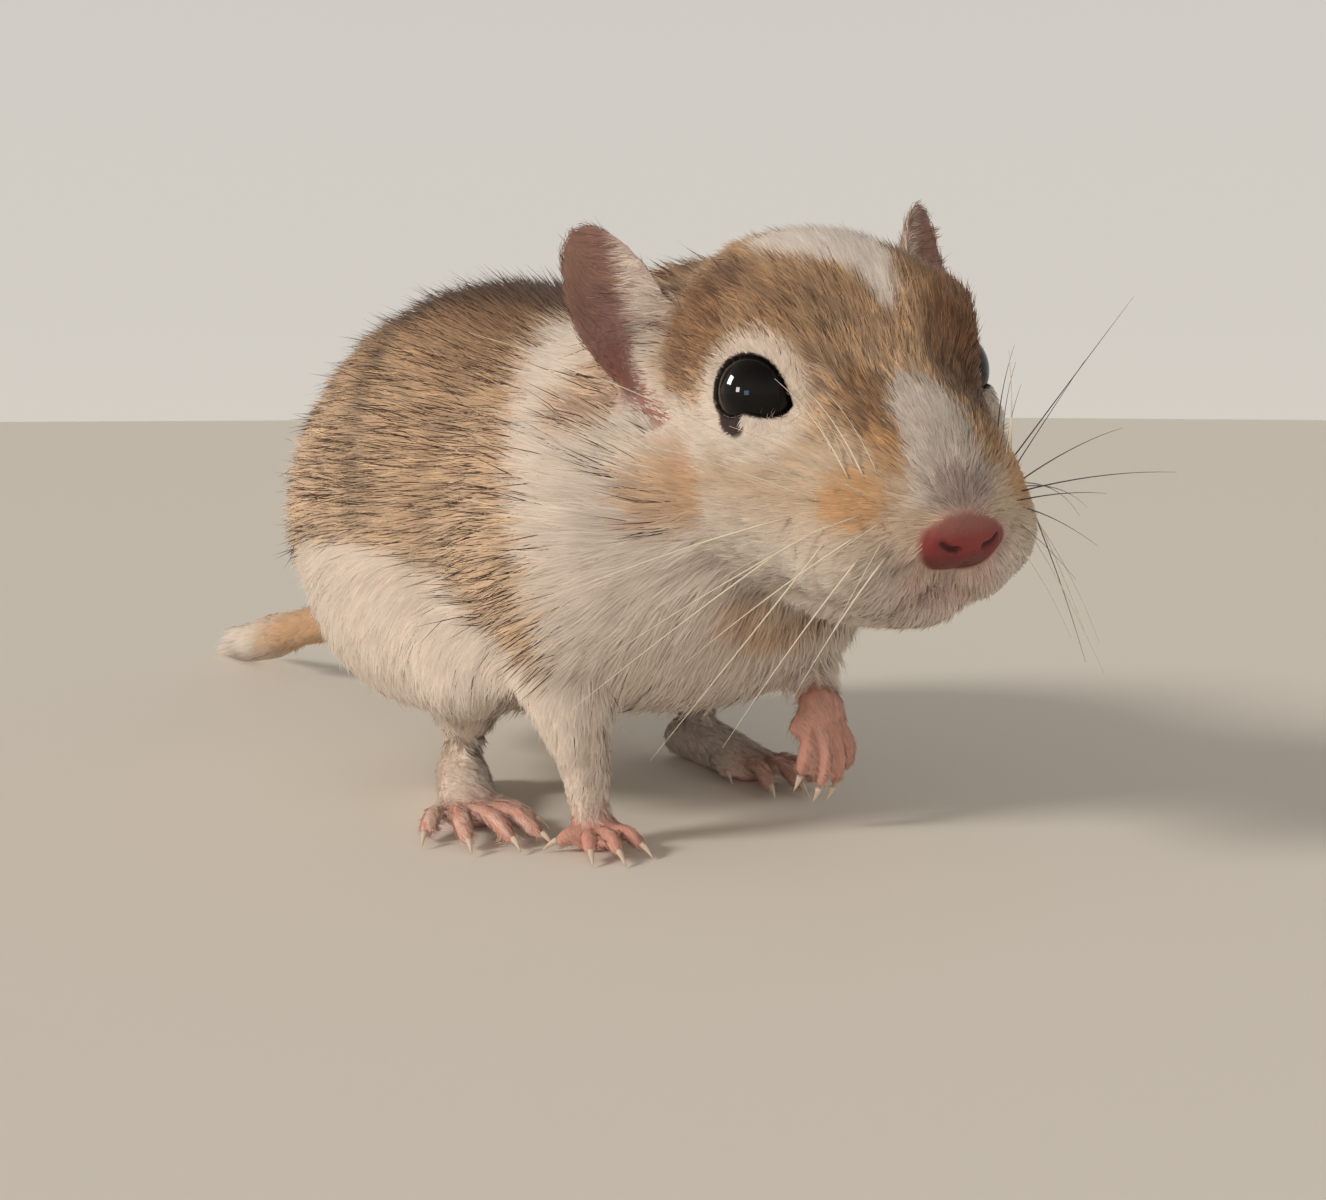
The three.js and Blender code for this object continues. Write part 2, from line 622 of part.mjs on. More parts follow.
for (const [mark, side] of Object.entries(SIDES)) {
  add(`eye_${mark}`, eyeball(side), "eye", headGroup);
  add(`ear_${mark}`, cutBy(ear(side), headRoom, behindHead), "bare_skin", headGroup);

  const paw = cutBy(forepaw(FOREPAW[mark]), floorCutter);
  const pawRoom = drawn(FOREPAW[mark].palm, 14, 9, FOREPAW[mark].up, GAP);
  const foreleg = drawn(FORELEG[mark], 18, 14, point(0, 1, 0));
  const leg = hindLeg(HIND_LEG[mark]);
  const legRoom = hindLeg(HIND_LEG[mark], GAP);
  const foot = cutBy(hindFoot(HIND_FOOT[mark]), floorCutter);
  const footRoom = hindSole(HIND_FOOT[mark], GAP);
  add(`forepaw_${mark}`, paw, "bare_skin");
  add(`foreleg_${mark}`, cutBy(foreleg, torsoRoom, neckRoom, pawRoom, legRoom), "white_fur");
  add(`hind_leg_${mark}`, cutBy(leg, torsoRoom, footRoom), "white_fur");
  add(`hind_foot_${mark}`, foot, "bare_skin");
}

const wholeTail = cutBy(tail(), torsoRoom);
const tailParts = TAIL_CUTS.reduce((whole, share) => whole.subtract(tailSlab(share)), wholeTail);
const lengths = tailParts.decompose().sort((a, b) => a.boundingBox().min[1] - b.boundingBox().min[1]);
lengths[2] = cutBy(joined([lengths[2], ...brush()]), floorCutter);
["tail_base", "tail_middle", "tail_tip"].forEach((name, i) => add(name, lengths[i], "tail_fur"));

// The origin: the middle of the whole model's box, on the floor
const box = new THREE.Box3().setFromObject(gerbil, true);
const middle = box.getCenter(new THREE.Vector3());
gerbil.position.set(-middle.x, -middle.y, 0);

export default gerbil;
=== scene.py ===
import json
import math

import bpy
import numpy as np
from mathutils import Euler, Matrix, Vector
from mathutils.bvhtree import BVHTree
from mathutils.kdtree import KDTree

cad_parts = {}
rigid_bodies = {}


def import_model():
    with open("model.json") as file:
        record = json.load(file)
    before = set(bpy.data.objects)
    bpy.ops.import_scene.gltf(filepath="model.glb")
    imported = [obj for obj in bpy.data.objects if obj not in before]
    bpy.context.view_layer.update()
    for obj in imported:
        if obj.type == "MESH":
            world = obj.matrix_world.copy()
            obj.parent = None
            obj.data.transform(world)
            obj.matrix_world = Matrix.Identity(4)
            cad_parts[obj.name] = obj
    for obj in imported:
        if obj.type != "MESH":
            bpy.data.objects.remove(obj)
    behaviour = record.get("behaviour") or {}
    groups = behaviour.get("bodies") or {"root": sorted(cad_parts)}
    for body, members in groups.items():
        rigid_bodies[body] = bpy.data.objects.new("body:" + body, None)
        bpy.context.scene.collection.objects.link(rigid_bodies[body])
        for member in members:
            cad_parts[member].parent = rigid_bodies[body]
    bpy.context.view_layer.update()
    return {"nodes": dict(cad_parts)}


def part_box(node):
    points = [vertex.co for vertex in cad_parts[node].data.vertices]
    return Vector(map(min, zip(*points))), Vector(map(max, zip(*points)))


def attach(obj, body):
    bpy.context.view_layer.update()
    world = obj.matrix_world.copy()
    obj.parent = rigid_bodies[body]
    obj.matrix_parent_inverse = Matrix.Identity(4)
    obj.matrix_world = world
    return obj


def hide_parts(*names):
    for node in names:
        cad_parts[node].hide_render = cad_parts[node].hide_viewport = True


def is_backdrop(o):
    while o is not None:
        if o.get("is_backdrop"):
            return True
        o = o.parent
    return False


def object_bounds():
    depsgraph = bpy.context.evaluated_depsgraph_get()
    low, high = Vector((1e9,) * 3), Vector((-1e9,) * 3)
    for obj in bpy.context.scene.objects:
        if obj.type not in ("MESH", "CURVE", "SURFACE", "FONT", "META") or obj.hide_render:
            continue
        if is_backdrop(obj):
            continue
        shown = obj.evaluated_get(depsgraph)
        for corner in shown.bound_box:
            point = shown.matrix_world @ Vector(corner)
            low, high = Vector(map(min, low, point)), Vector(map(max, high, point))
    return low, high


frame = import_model()

# ---- Body skin ----
# The gerbil's skin in one piece from the nose to the last third of the tail, with ears, legs, hands and feet.
# It is cast from the body's solids, smoothed over their joints and drawn in by the depth of the coat,
# so that the tips of the fur come out at the surface of the solids.

MM = 0.001
JOINT_CLOSING = 0.22 * MM
SKIN_VOXEL = 0.24 * MM
SKIN_FACES = 150_000

# The animal's own frame: millimetres from the middle of the hind feet, tied to the right eye's place
EYE_RIGHT = np.array([-5.735, -25.745, 39.020])
eye_low, eye_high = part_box("eye_R")
SHIFT = np.array((eye_low + eye_high) / 2) / MM - EYE_RIGHT
HEAD_PLACE = np.array([2.6, -27.7, 38.9])
HEAD_TURN = np.array(Euler((math.radians(19), math.radians(-6), math.radians(-12)), "XYZ").to_matrix())


def in_body(points):
    return points / MM - SHIFT


def in_head(points):
    return (in_body(points) - HEAD_PLACE) @ HEAD_TURN


def from_body(points):
    return (np.asarray(points, float) + SHIFT) * MM


def from_head(points):
    return from_body(np.asarray(points, float) @ HEAD_TURN.T + HEAD_PLACE)


def select_only(*objects):
    bpy.ops.object.select_all(action="DESELECT")
    for item in objects:
        item.select_set(True)
    bpy.context.view_layer.objects.active = objects[0]


WELD = (bpy.ops.mesh.remove_doubles, dict(threshold=0.002 * MM))
OUTWARD = (bpy.ops.mesh.normals_make_consistent, dict(inside=False))


def edit_all(item, *steps):
    """Runs edit mode operators on the whole mesh of an object."""
    select_only(item)
    bpy.ops.object.mode_set(mode="EDIT")
    bpy.ops.mesh.select_all(action="SELECT")
    for operator, settings in steps:
        operator(**settings)
    bpy.ops.object.mode_set(mode="OBJECT")


def add_object(name, data):
    item = bpy.data.objects.new(name, data)
    bpy.context.collection.objects.link(item)
    return item


def mesh_piece(name, points, faces):
    mesh = bpy.data.meshes.new(name)
    mesh.from_pydata([tuple(p) for p in points], [], faces)
    return add_object(name, mesh)


def ring_faces(rows, sides, closed=False):
    """Faces between rings of points that follow each other."""
    faces = []
    for k in range(rows if closed else rows - 1):
        near, far = k * sides, (k + 1) % rows * sides
        faces += [(near + i, near + (i + 1) % sides, far + (i + 1) % sides, far + i) for i in range(sides)]
    return faces


def tube(name, path, radii, sides):
    """A closed tapering tube along a path of points, in metres."""
    path = np.asarray(path, float)
    tangents = np.gradient(path, axis=0)
    tangents /= np.linalg.norm(tangents, axis=1)[:, None]
    across = np.cross(tangents, [0.13, 0.21, 0.97])
    across /= np.linalg.norm(across, axis=1)[:, None]
    rise = np.cross(across, tangents)
    turns = np.arange(sides) * 2 * math.pi / sides
    rings = [
        p + r * (np.cos(turns)[:, None] * a + np.sin(turns)[:, None] * b)
        for p, r, a, b in zip(path, radii, across, rise)
    ]
    rows = len(path)
    faces = ring_faces(rows, sides)
    for i in range(sides):
        j = (i + 1) % sides
        faces += [(j, i, rows * sides), ((rows - 1) * sides + i, (rows - 1) * sides + j, rows * sides + 1)]
    piece = mesh_piece(name, np.concatenate(rings + [path[:1], path[-1:]]), faces)
    edit_all(piece, OUTWARD)
    return piece


FLESH = [
    "torso", "neck", "head", "lower_jaw", "nose", "ear_R", "ear_L",
    "foreleg_R", "foreleg_L", "hind_leg_R", "hind_leg_L",
    "forepaw_R", "forepaw_L", "hind_foot_R", "hind_foot_L", "tail_base", "tail_middle",
]
casts = []
for node in FLESH:
    cast = frame["nodes"][node].copy()
    cast.data = cast.data.copy()
    cast.parent = None
    for key in list(cast.keys()):
        del cast[key]
    bpy.context.collection.objects.link(cast)
    casts.append(cast)

# The tail's core runs on under the brush
TAIL_CORE = [(1.6, 86, 7.0), (2.1, 94, 5.2), (2.8, 101, 3.8), (3.3, 107, 3.0)]
TAIL_CORE_RADII = np.array([1.9, 1.5, 1.0, 0.35]) * MM
tail_core = tube("tail_core", from_body(TAIL_CORE), TAIL_CORE_RADII, 12)

# The whisker pads and the upper lips, which hang over the front of the lower jaw, are fuller than the bone
# under them: middle and size of each ball of the left side, in the head's frame
FACE_CORES = [
    ((5.5, -9.2, -8.0), (5.1, 5.9, 5.3)), ((3.5, -10.5, -9.4), (5.2, 4.8, 4.6)),
    ((0.6, -12.9, -3.7), (3.0, 2.9, 1.9)),
]
face_cores = []


def read(items, attribute, width, kind=float):
    """One attribute of all items of a mesh, a row for each."""
    values = np.empty(len(items) * width, kind)
    items.foreach_get(attribute, values)
    return values.reshape(-1, width)


def move_points(mesh, points):
    mesh.vertices.foreach_set("co", points.ravel())
    mesh.update()


def add_core(middle, size, axes):
    """A ball in the head's frame, stretched along its axes, that joins the skin's cast."""
    bpy.ops.object.select_all(action="DESELECT")
    bpy.ops.mesh.primitive_uv_sphere_add(segments=32, ring_count=20, radius=1)
    core = bpy.context.object
    move_points(core.data, from_head(middle + (read(core.data.vertices, "co", 3) * size) @ axes))
    face_cores.append(core)


for side in (-1, 1):
    for (across, back, up), size in FACE_CORES:
        add_core((side * across, back, up), size, np.eye(3))

# The openings between the lids: seen along the eye's axis, the reach of the edge in each direction, in millimetres
EYE_RADIUS = 3.4 * MM
EYE_MIDDLES = {side: np.array([side * 8.5, 0.5, 0.9]) for side in (-1, 1)}
LID_TURNS = [0, 13, 32, 59, 90, 118, 144, 171, 200, 223, 238, 263, 290, 315, 331, 345, 360]
LID_REACH = [3.3, 3.45, 3.2, 3.02, 2.95, 2.92, 3.0, 3.12, 3.0, 2.9, 2.72, 2.2, 1.7, 1.5, 1.9, 2.6, 3.3]


def eye_frame(side):
    """The eye's axis, the direction of the corner near the nose, and the way up, in the head's frame."""
    axis = np.array([side * 0.84, -0.48, 0.24])
    axis /= np.linalg.norm(axis)
    ahead = np.array([0, -1, -0.12])
    ahead -= axis * (ahead @ axis)
    ahead /= np.linalg.norm(ahead)
    rise = np.cross(axis, ahead)
    return axis, ahead, rise * np.sign(rise[2])


def around_eye(head, side):
    """The eye's axis and, for each point, its level along it, its way across it, and that way's length and turn."""
    axis, ahead, rise = eye_frame(side)
    away = head - EYE_MIDDLES[side]
    level = away @ axis
    flat = away - level[:, None] * axis
    return axis, level, flat, np.linalg.norm(flat, axis=1), np.arctan2(away @ rise, away @ ahead)


# Stands for a distance where there is nothing near
FAR = 99.0


def beside_lids(head):
    """How far outside the nearer opening each point lies, in millimetres, with its direction from the eye."""
    clear = np.full(len(head), FAR)
    outward = np.zeros((len(head), 3))
    for side in (-1, 1):
        _, level, flat, radius, turn = around_eye(head, side)
        near = (np.sign(head[:, 0]) == side) & (level > -2.5)
        clear[near] = (radius - np.interp(np.degrees(turn) % 360, LID_TURNS, LID_REACH))[near]
        outward[near] = (flat / np.maximum(radius, 1e-9)[:, None])[near]
    return clear, outward


# A smooth mound over each eye makes the skin one sheet there, which is laid round the eyeball further down
MOUND_SIZE = np.array([4.9, 6.0, 6.0])
for side in (-1, 1):
    axis, ahead, rise = eye_frame(side)
    add_core(EYE_MIDDLES[side] - axis, MOUND_SIZE, [axis, ahead, rise])


# Sample points on the solids say which part of the body each place of the skin belongs to
PARTS = ["torso", "neck", "head", "lower_jaw", "nose", "ear", "foreleg", "hind_leg", "forepaw", "hind_foot", "tail"]
rng = np.random.default_rng(11)


def scatter(count, chances):
    """Random places on triangles: which triangle, and how far along its two sides from the first corner."""
    pick = rng.choice(len(chances), count, p=chances / chances.sum())
    u, v = rng.random(count), rng.random(count)
    flip = u + v > 1
    u[flip], v[flip] = 1 - u[flip], 1 - v[flip]
    return pick, u, v


def search_tree(places):
    tree = KDTree(len(places))
    for i, place in enumerate(places):
        tree.insert(place, i)
    tree.balance()
    return tree


SAMPLES_PER_AREA = 4
sample_points, sample_parts = [], []
for node in FLESH + ["tail_tip"]:
    mesh = frame["nodes"][node].data
    mesh.calc_loop_triangles()
    triangles = read(mesh.loop_triangles, "vertices", 3, np.int32)
    a, b, c = (read(mesh.vertices, "co", 3)[triangles[:, i]] for i in range(3))
    area = np.linalg.norm(np.cross(b - a, c - a), axis=1) / 2
    count = int(area.sum() / MM**2 * SAMPLES_PER_AREA)
    pick, u, v = scatter(count, area)
    sample_points.append(a[pick] + (b - a)[pick] * u[:, None] + (c - a)[pick] * v[:, None])
    label = next(i for i, part in enumerate(PARTS) if node.startswith(part))
    sample_parts.append(np.full(count, label))
sample_parts = np.concatenate(sample_parts)
part_tree = search_tree(np.concatenate(sample_points))


def edit_chosen(item, chosen, operator, **settings):
    """Runs an edit mode operator on the chosen points of an object."""
    select_only(item)
    bpy.ops.object.mode_set(mode="EDIT")
    bpy.ops.mesh.select_mode(type="VERT")
    bpy.ops.mesh.select_all(action="DESELECT")
    bpy.ops.object.mode_set(mode="OBJECT")
    item.data.vertices.foreach_set("select", chosen)
    bpy.ops.object.mode_set(mode="EDIT")
    operator(**settings)
    bpy.ops.object.mode_set(mode="OBJECT")


# The solid whiskers come off the head's cast: past these half widths of the head there is nothing else
HEAD_BACK = [-14, -8, -4, 0, 4]
HEAD_HALF_WIDTH = [7.5, 11.6, 13.4, 15, 16]
head_cast = casts[FLESH.index("head")]
edit_all(head_cast, WELD)
places = in_head(read(head_cast.data.vertices, "co", 3))
on_whisker = np.abs(places[:, 0]) > np.interp(places[:, 1], HEAD_BACK, HEAD_HALF_WIDTH)
edit_chosen(head_cast, on_whisker, bpy.ops.mesh.delete, type="VERT")
edit_all(head_cast, (bpy.ops.mesh.fill_holes, dict(sides=0)))

select_only(*casts)
bpy.ops.object.join()
skin = bpy.context.object
skin.name = "body_skin"
edit_all(skin, WELD, OUTWARD)


def apply_modifier(item, kind, **settings):
    select_only(item)
    modifier = item.modifiers.new(kind.title(), kind)
    for key, value in settings.items():
        setattr(modifier, key, value)
    bpy.ops.object.modifier_apply(modifier=modifier.name)


apply_modifier(skin, "DISPLACE", strength=JOINT_CLOSING, mid_level=0)
select_only(skin, tail_core, *face_cores)
bpy.ops.object.join()
apply_modifier(skin, "REMESH", mode="VOXEL", voxel_size=SKIN_VOXEL)


def read_normals(mesh):
    return read(mesh.vertex_normals, "vector", 3, np.float32).astype(float)


def neighbour_sum(values, edges, own=0):
    """The sum over each point's neighbours and its own share, column by column."""
    columns = [
        own * values[:, k]
        + np.bincount(edges[:, 0], values[edges[:, 1], k], len(values))
        + np.bincount(edges[:, 1], values[edges[:, 0], k], len(values))
        for k in range(values.shape[1])
    ]
    return np.stack(columns, axis=1)


def part_weights(points, edges, rounds):
    """How much each point belongs to each part, softened over the seams."""
    labels = np.array([sample_parts[part_tree.find(p)[1]] for p in points])
    weights = np.zeros((len(points), len(PARTS)))
    weights[np.arange(len(points)), labels] = 1
    degree = np.bincount(edges.ravel(), minlength=len(points))[:, None] + 1
    for _ in range(rounds):
        weights = neighbour_sum(weights, edges, own=1) / degree
    return weights


def belongs(weights, *parts):
    """How much each point belongs to any of the named parts."""
    return sum(weights[:, PARTS.index(part)] for part in parts)


def part_values(weights, values):
    """A number for each point out of a number for each part."""
    return weights @ np.array([values[part] for part in PARTS])


def smooth_step(value, low, high):
    t = np.clip((value - low) / (high - low), 0, 1)
    return t * t * (3 - 2 * t)


# The body and the legs are rounded off more than the face, and the ears, hands and feet hardly at all
SMOOTHING = dict(torso=1, neck=1, head=0.5, lower_jaw=0.4, nose=0.8, ear=0.12, foreleg=0.7, hind_leg=1,
                 forepaw=0.08, hind_foot=0.1, tail=0.6)
SMOOTH_ROUNDS, SMOOTH_RATE = 60, 0.6
REFILL_ROUNDS, REFILL_RATE = 60, 0.8

points = read(skin.data.vertices, "co", 3)
edges = read(skin.data.edges, "vertices", 2, np.int32)
weights = part_weights(points, edges, 12)
stiffness = part_values(weights, SMOOTHING)[:, None]
clear, _ = beside_lids(in_head(points))
stiffness *= (0.25 + 0.75 * smooth_step(clear, 0.5, 2.5))[:, None]
degree = np.bincount(edges.ravel(), minlength=len(points))[:, None]
before = points.copy()
for _ in range(SMOOTH_ROUNDS):
    points += (neighbour_sum(points, edges) / degree - points) * stiffness * SMOOTH_RATE
move_points(skin.data, points)
normals = read_normals(skin.data)
# What the smoothing took off all round is put back, so that the head keeps its width
lost = ((before - points) * normals).sum(1)[:, None]
for _ in range(REFILL_ROUNDS):
    lost += (neighbour_sum(lost, edges) / degree - lost) * REFILL_RATE
points += normals * lost


# The left ear's size, root and axes in the head's frame, as in the solids
EAR_LENGTH, EAR_WIDTH = 17.5, 8.2
EAR_ROOT, EAR_UP, EAR_FACING = np.array([(11.2, 10.6, -5.2), (0.21, 0.43, 0.88), (0.5, -0.83, 0.2)])


def fold_side(head):
    """The head's points with the far side laid over the near one."""
    return head * np.where(head[:, :1] > 0, [[-1, 1, 1]], [[1, 1, 1]])


def near_line(points, line):
    """Distance of each point to a chain of short lines."""
    line = np.asarray(line, float)
    best = np.full(len(points), np.inf)
    for start, end in zip(line[:-1], line[1:]):
        reach = end - start
        t = np.clip(((points - start) @ reach) / (reach @ reach), 0, 1)
        best = np.minimum(best, np.linalg.norm(points - start - t[:, None] * reach, axis=1))
    return best


# Last knuckle and tip of each digit in the animal's frame, right forepaw, left forepaw, right and left hind foot
DIGITS = [
    ((-13, -9.4, 1.8), (-14.2, -8.6, 0.5)), ((-12.9, -11.9, 1.9), (-13.6, -13.4, 0.5)),
    ((-11.4, -13, 2), (-11.7, -14.9, 0.5)), ((-9.3, -12.6, 1.9), (-8.9, -14.3, 0.5)),
    ((6.2, -17.6, 7.9), (6.2, -16.8, 5.3)), ((7.8, -18.4, 7.1), (7.9, -17.4, 4.1)),
    ((9.5, -18.4, 7.1), (9.5, -17.4, 4)), ((11.2, -17.7, 7.7), (11.1, -16.8, 5)),
    ((-20, 2.6, 1.8), (-22.4, -0.4, 0.6)), ((-19.2, -1, 2.2), (-20.4, -4.8, 0.6)),
    ((-16.9, -2.8, 2.3), (-17, -6.6, 0.6)), ((-14.6, -2.8, 2.2), (-14, -6.6, 0.6)),
    ((-12.8, 1, 1.7), (-11.6, -1.8, 0.6)),
    ((20, 1.4, 1.8), (21.4, -1.4, 0.6)), ((18.7, -1.8, 2.2), (19, -5, 0.6)),
    ((16.4, -2.6, 2.3), (15.9, -6, 0.6)), ((14.2, -1.6, 2.2), (13.1, -4.6, 0.6)),
    ((14.2, 5, 1.7), (13.4, 2.6, 0.6)),
]

# Creases of the face in the head's frame: nostrils, the cleft under the nose and the line of the mouth
NOSTRILS = [
    [(0.35 + s * 1.2, -16.5, -6.15), (0.35 + s * 1.8, -16.3, -6.05), (0.35 + s * 2.4, -16.0, -5.6)] for s in (-1, 1)
]
CLEFT = [(0.3, -16.4, -7.6), (0.7, -15.2, -9), (0.8, -14.3, -10.6)]
MOUTH = [
    [(0.8, -14.3, -10.6), (0.4 + s * 2.6, -13.6, -11.3), (s * 5.2, -11.2, -11.4), (s * 6.6, -7.8, -10.8)]
    for s in (-1, 1)
]
CREASES = [(line, 0.34, 0.6) for line in NOSTRILS] + [(CLEFT, 0.28, 0.35)] + [(line, 0.34, 0.4) for line in MOUTH]
# Creases are found mostly from the front, so they need not follow the depth of the face exactly
CREASE_VIEW = np.array([1, 0.4, 1])

# The lower end of each ear's opening runs down and forwards as a narrow bare notch
EAR_NOTCH = np.array([(-14.4, 13.6, 0.4), (-13.7, 11.7, -2.4), (-13.1, 9.9, -3.4), (-12.7, 8.4, -3.6)])


def fade(value, low, high):
    return 1 - smooth_step(value, low, high)


LEATHER_MIDDLE, LEATHER_SIZE = np.array([0.35, -15.4, -6.3]), np.array([4.05, 3.6, 2.9])


def nose_leather(head, soft):
    """1 on the bare leather of the nose, 0 on the fur around it."""
    apart = head - LEATHER_MIDDLE
    apart[:, 2] += 0.15 * apart[:, 0]
    return fade(np.linalg.norm(apart / LEATHER_SIZE, axis=1), 1 - soft, 1 + soft)


def bell(distance, width):
    """1 at no distance, falling off softly within about the width."""
    return np.exp(-((distance / width) ** 2))


def crease_depth(head):
    """How deep each point of the head lies in a crease, in millimetres."""
    deep = np.zeros(len(head))
    for line, width, depth in CREASES:
        apart = near_line(head * CREASE_VIEW, np.array(line) * CREASE_VIEW)
        deep = np.maximum(deep, depth * bell(apart, width))
    return deep


# The leather of the nose is broader than its bone, and the near ear leans out from the head
NOSE_MIDDLE = np.array([0, -14.6, -5.4])
NOSE_GROWTH = np.array([0.5, 0.08, 0.34])
place = in_head(points)
near_nose = fade(np.linalg.norm((place - NOSE_MIDDLE) / [3.4, 3.0, 2.9], axis=1), 0.6, 1.7)
place += ((place - NOSE_MIDDLE) * NOSE_GROWTH + [0.2, -0.2, -0.35]) * near_nose[:, None]


def unit(vectors):
    return vectors / np.maximum(np.linalg.norm(vectors, axis=-1, keepdims=True), 1e-12)


near_ear = belongs(weights, "ear") * (place[:, 0] < 0)
RIGHT_SIDE = np.array([-1, 1, 1])
ear_height = ((place - EAR_ROOT * RIGHT_SIDE) @ unit(EAR_UP * RIGHT_SIDE)) / EAR_LENGTH
points = from_head(place)
ACROSS_VIEW = np.array([0.813, -0.582, 0])
points += (ACROSS_VIEW * MM) * ((0.7 - 2.3 * ear_height.clip(0, 1)) * near_ear)[:, None]
move_points(skin.data, points)

# Depth of the coat over the skin in each part, in millimetres
COAT_DEPTH = dict(torso=1.5, neck=1.3, head=0.75, lower_jaw=0.45, nose=0.02, ear=0.05, foreleg=0.5, hind_leg=0.9,
                  forepaw=0.08, hind_foot=0.1, tail=0.7)
MUZZLE_DEPTH = 0.22


def coat_depth(points, weights):
    depth = part_values(weights, COAT_DEPTH)
    head = in_head(points)
    muzzle = fade(head[:, 1], -14, 2)
    depth -= belongs(weights, "head") * muzzle * (COAT_DEPTH["head"] - MUZZLE_DEPTH)
    brush = smooth_step(in_body(points)[:, 1], 82, 90)
    clear, _ = beside_lids(head)
    return depth * (1 - brush) * (0.1 + 0.9 * smooth_step(clear, 0, 4.5))


# The face, the fingers and the toes keep their fine faces, the rest is thinned out
place = in_head(points)
fine = (belongs(weights, "head", "nose", "lower_jaw") > 0.5) & (place[:, 1] < 3)
fine |= belongs(weights, "forepaw") > 0.5
fine |= (belongs(weights, "hind_foot") > 0.5) & (in_body(points)[:, 1] < 3)
fine_faces, coarse_faces = 2 * fine.sum(), 2 * (~fine).sum()
edit_chosen(skin, ~fine, bpy.ops.mesh.decimate, ratio=min(1.0, (SKIN_FACES - fine_faces) / coarse_faces))
places = in_head(read(skin.data.vertices, "co", 3))
nose_area = np.linalg.norm((places - [0, -15, -6.5]) / [4.4, 3, 4.6], axis=1) < 1
edit_chosen(skin, nose_area, bpy.ops.mesh.subdivide, number_cuts=1, smoothness=0.6)
points = read(skin.data.vertices, "co", 3)
edges = read(skin.data.edges, "vertices", 2, np.int32)
weights = part_weights(points, edges, 6)
depth = coat_depth(points, weights)
normals = read_normals(skin.data)
points -= normals * (depth * MM + JOINT_CLOSING)[:, None]

# The skin lies close on each eyeball round its opening, passes under it inside the lids, and rises evenly
# from there to the face around
LID_DISTANCE, UNDER_DISTANCE, LID_FIELD = 3.6, 3.1, 3.8
place = in_head(points)
turned = normals @ HEAD_TURN
clear, _ = beside_lids(place)
for side in (-1, 1):
    axis, level, flat, radius, turn = around_eye(place, side)
    outer = (radius < 9) & (level > -3) & (turned @ axis > -0.3) & (np.sign(place[:, 0]) == side)
    border = outer & (np.abs(clear - LID_FIELD) < 0.35)
    waves = np.stack([f(k * turn) for k in range(4) for f in (np.cos, np.sin)], axis=1)
    border_level = waves @ np.linalg.lstsq(waves[border], level[border], rcond=None)[0]
    edge = np.minimum(radius - clear, 3.5)
    edge_level = np.sqrt(LID_DISTANCE**2 - edge**2)
    share = np.clip(clear / LID_FIELD, 0, 1)
    even = edge_level + (border_level - edge_level) * share
    even += 0.25 * np.sin(share * math.pi)
    over_eye = np.sqrt(np.maximum(LID_DISTANCE**2 - radius**2, 0)) - 9 * (radius > LID_DISTANCE)
    even = np.maximum(even, over_eye)
    even = even + (level - even) * smooth_step(clear, LID_FIELD * 0.75, LID_FIELD)
    inside = clear < 0
    under = np.sqrt(np.maximum(UNDER_DISTANCE**2 - np.minimum(radius, 3.05) ** 2, 0))
    wanted = np.where(inside, under, even)
    moved = outer & (clear < LID_FIELD)
    place[moved] = (EYE_MIDDLES[side] + flat + wanted[:, None] * axis)[moved]
points = from_head(place)
move_points(skin.data, points)
normals = read_normals(skin.data)

# Creases of the face, the notches of the ears and the grooves between the digits
on_face = in_head(points)[:, 1] < -6
sunk = np.zeros(len(points))
sunk[on_face] = crease_depth(in_head(points[on_face]))
sunk += 0.35 * bell(near_line(fold_side(in_head(points)), EAR_NOTCH), 0.6)
limb_place = in_body(points)
for (knuckle, tip), (next_knuckle, next_tip) in zip(DIGITS[:-1], DIGITS[1:]):
    middle, end = (np.array(knuckle) + next_knuckle) / 2, (np.array(tip) + next_tip) / 2
    if np.linalg.norm(np.subtract(knuckle, next_knuckle)) > 5:
        continue
    # Seen from the back of the hand or foot, which faces forwards where the hand hangs
    seen = np.array([1, 0.3, 1]) if end[2] > 3 else np.array([1, 1, 0.3])
    groove = np.array([end, middle, middle + (middle - end) * 0.9]) * seen
    sunk += 0.4 * bell(near_line(limb_place * seen, groove), 0.32)
points -= normals * (sunk * MM)[:, None]
move_points(skin.data, points)

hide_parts(*FLESH)

# ---- Unwrap ----
# The skin laid out flat in islands. Skin and coat share this map: each tuft of the coat has
# a small patch of its own at the place of its root.

edit_all(skin, (bpy.ops.uv.smart_project, dict(angle_limit=math.radians(70), island_margin=0.001)))
skin.data.uv_layers[0].name = "OFBake"


# ---- Markings ----
# A pied agouti coat: sandy brown with dark ticks and a dark line down the back, and white on the collar,
# thighs, legs, belly, crown and blaze. The colours grow in the hair and the skin, so skin and coat
# take them from one function of the place on the animal.


def colour(red, green, blue):
    """A display colour of 0 to 255 as linear light."""
    value = np.array([red, green, blue]) / 255
    return np.where(value <= 0.04045, value / 12.92, ((value + 0.055) / 1.055) ** 2.4)


SANDY = colour(209, 180, 150)
SANDY_PALE = colour(219, 193, 166)
BROWN = colour(160, 122, 86)
UMBER = colour(120, 84, 58)
DARK = colour(52, 38, 33)
SLATE = colour(112, 100, 96)
WHITE = colour(222, 208, 194)
CREAM = colour(214, 190, 163)
ORANGE = colour(202, 156, 108)
TAN = colour(196, 158, 124)
PINK = colour(206, 150, 132)
EAR_MAUVE = colour(150, 112, 106)
EAR_ROSE = colour(158, 96, 92)
NOSE_PINK = colour(126, 52, 51)
# Painted shade inside the nostrils
NOSTRIL_SHADE = colour(44, 16, 18)
TAIL_BUFF = colour(206, 168, 130)

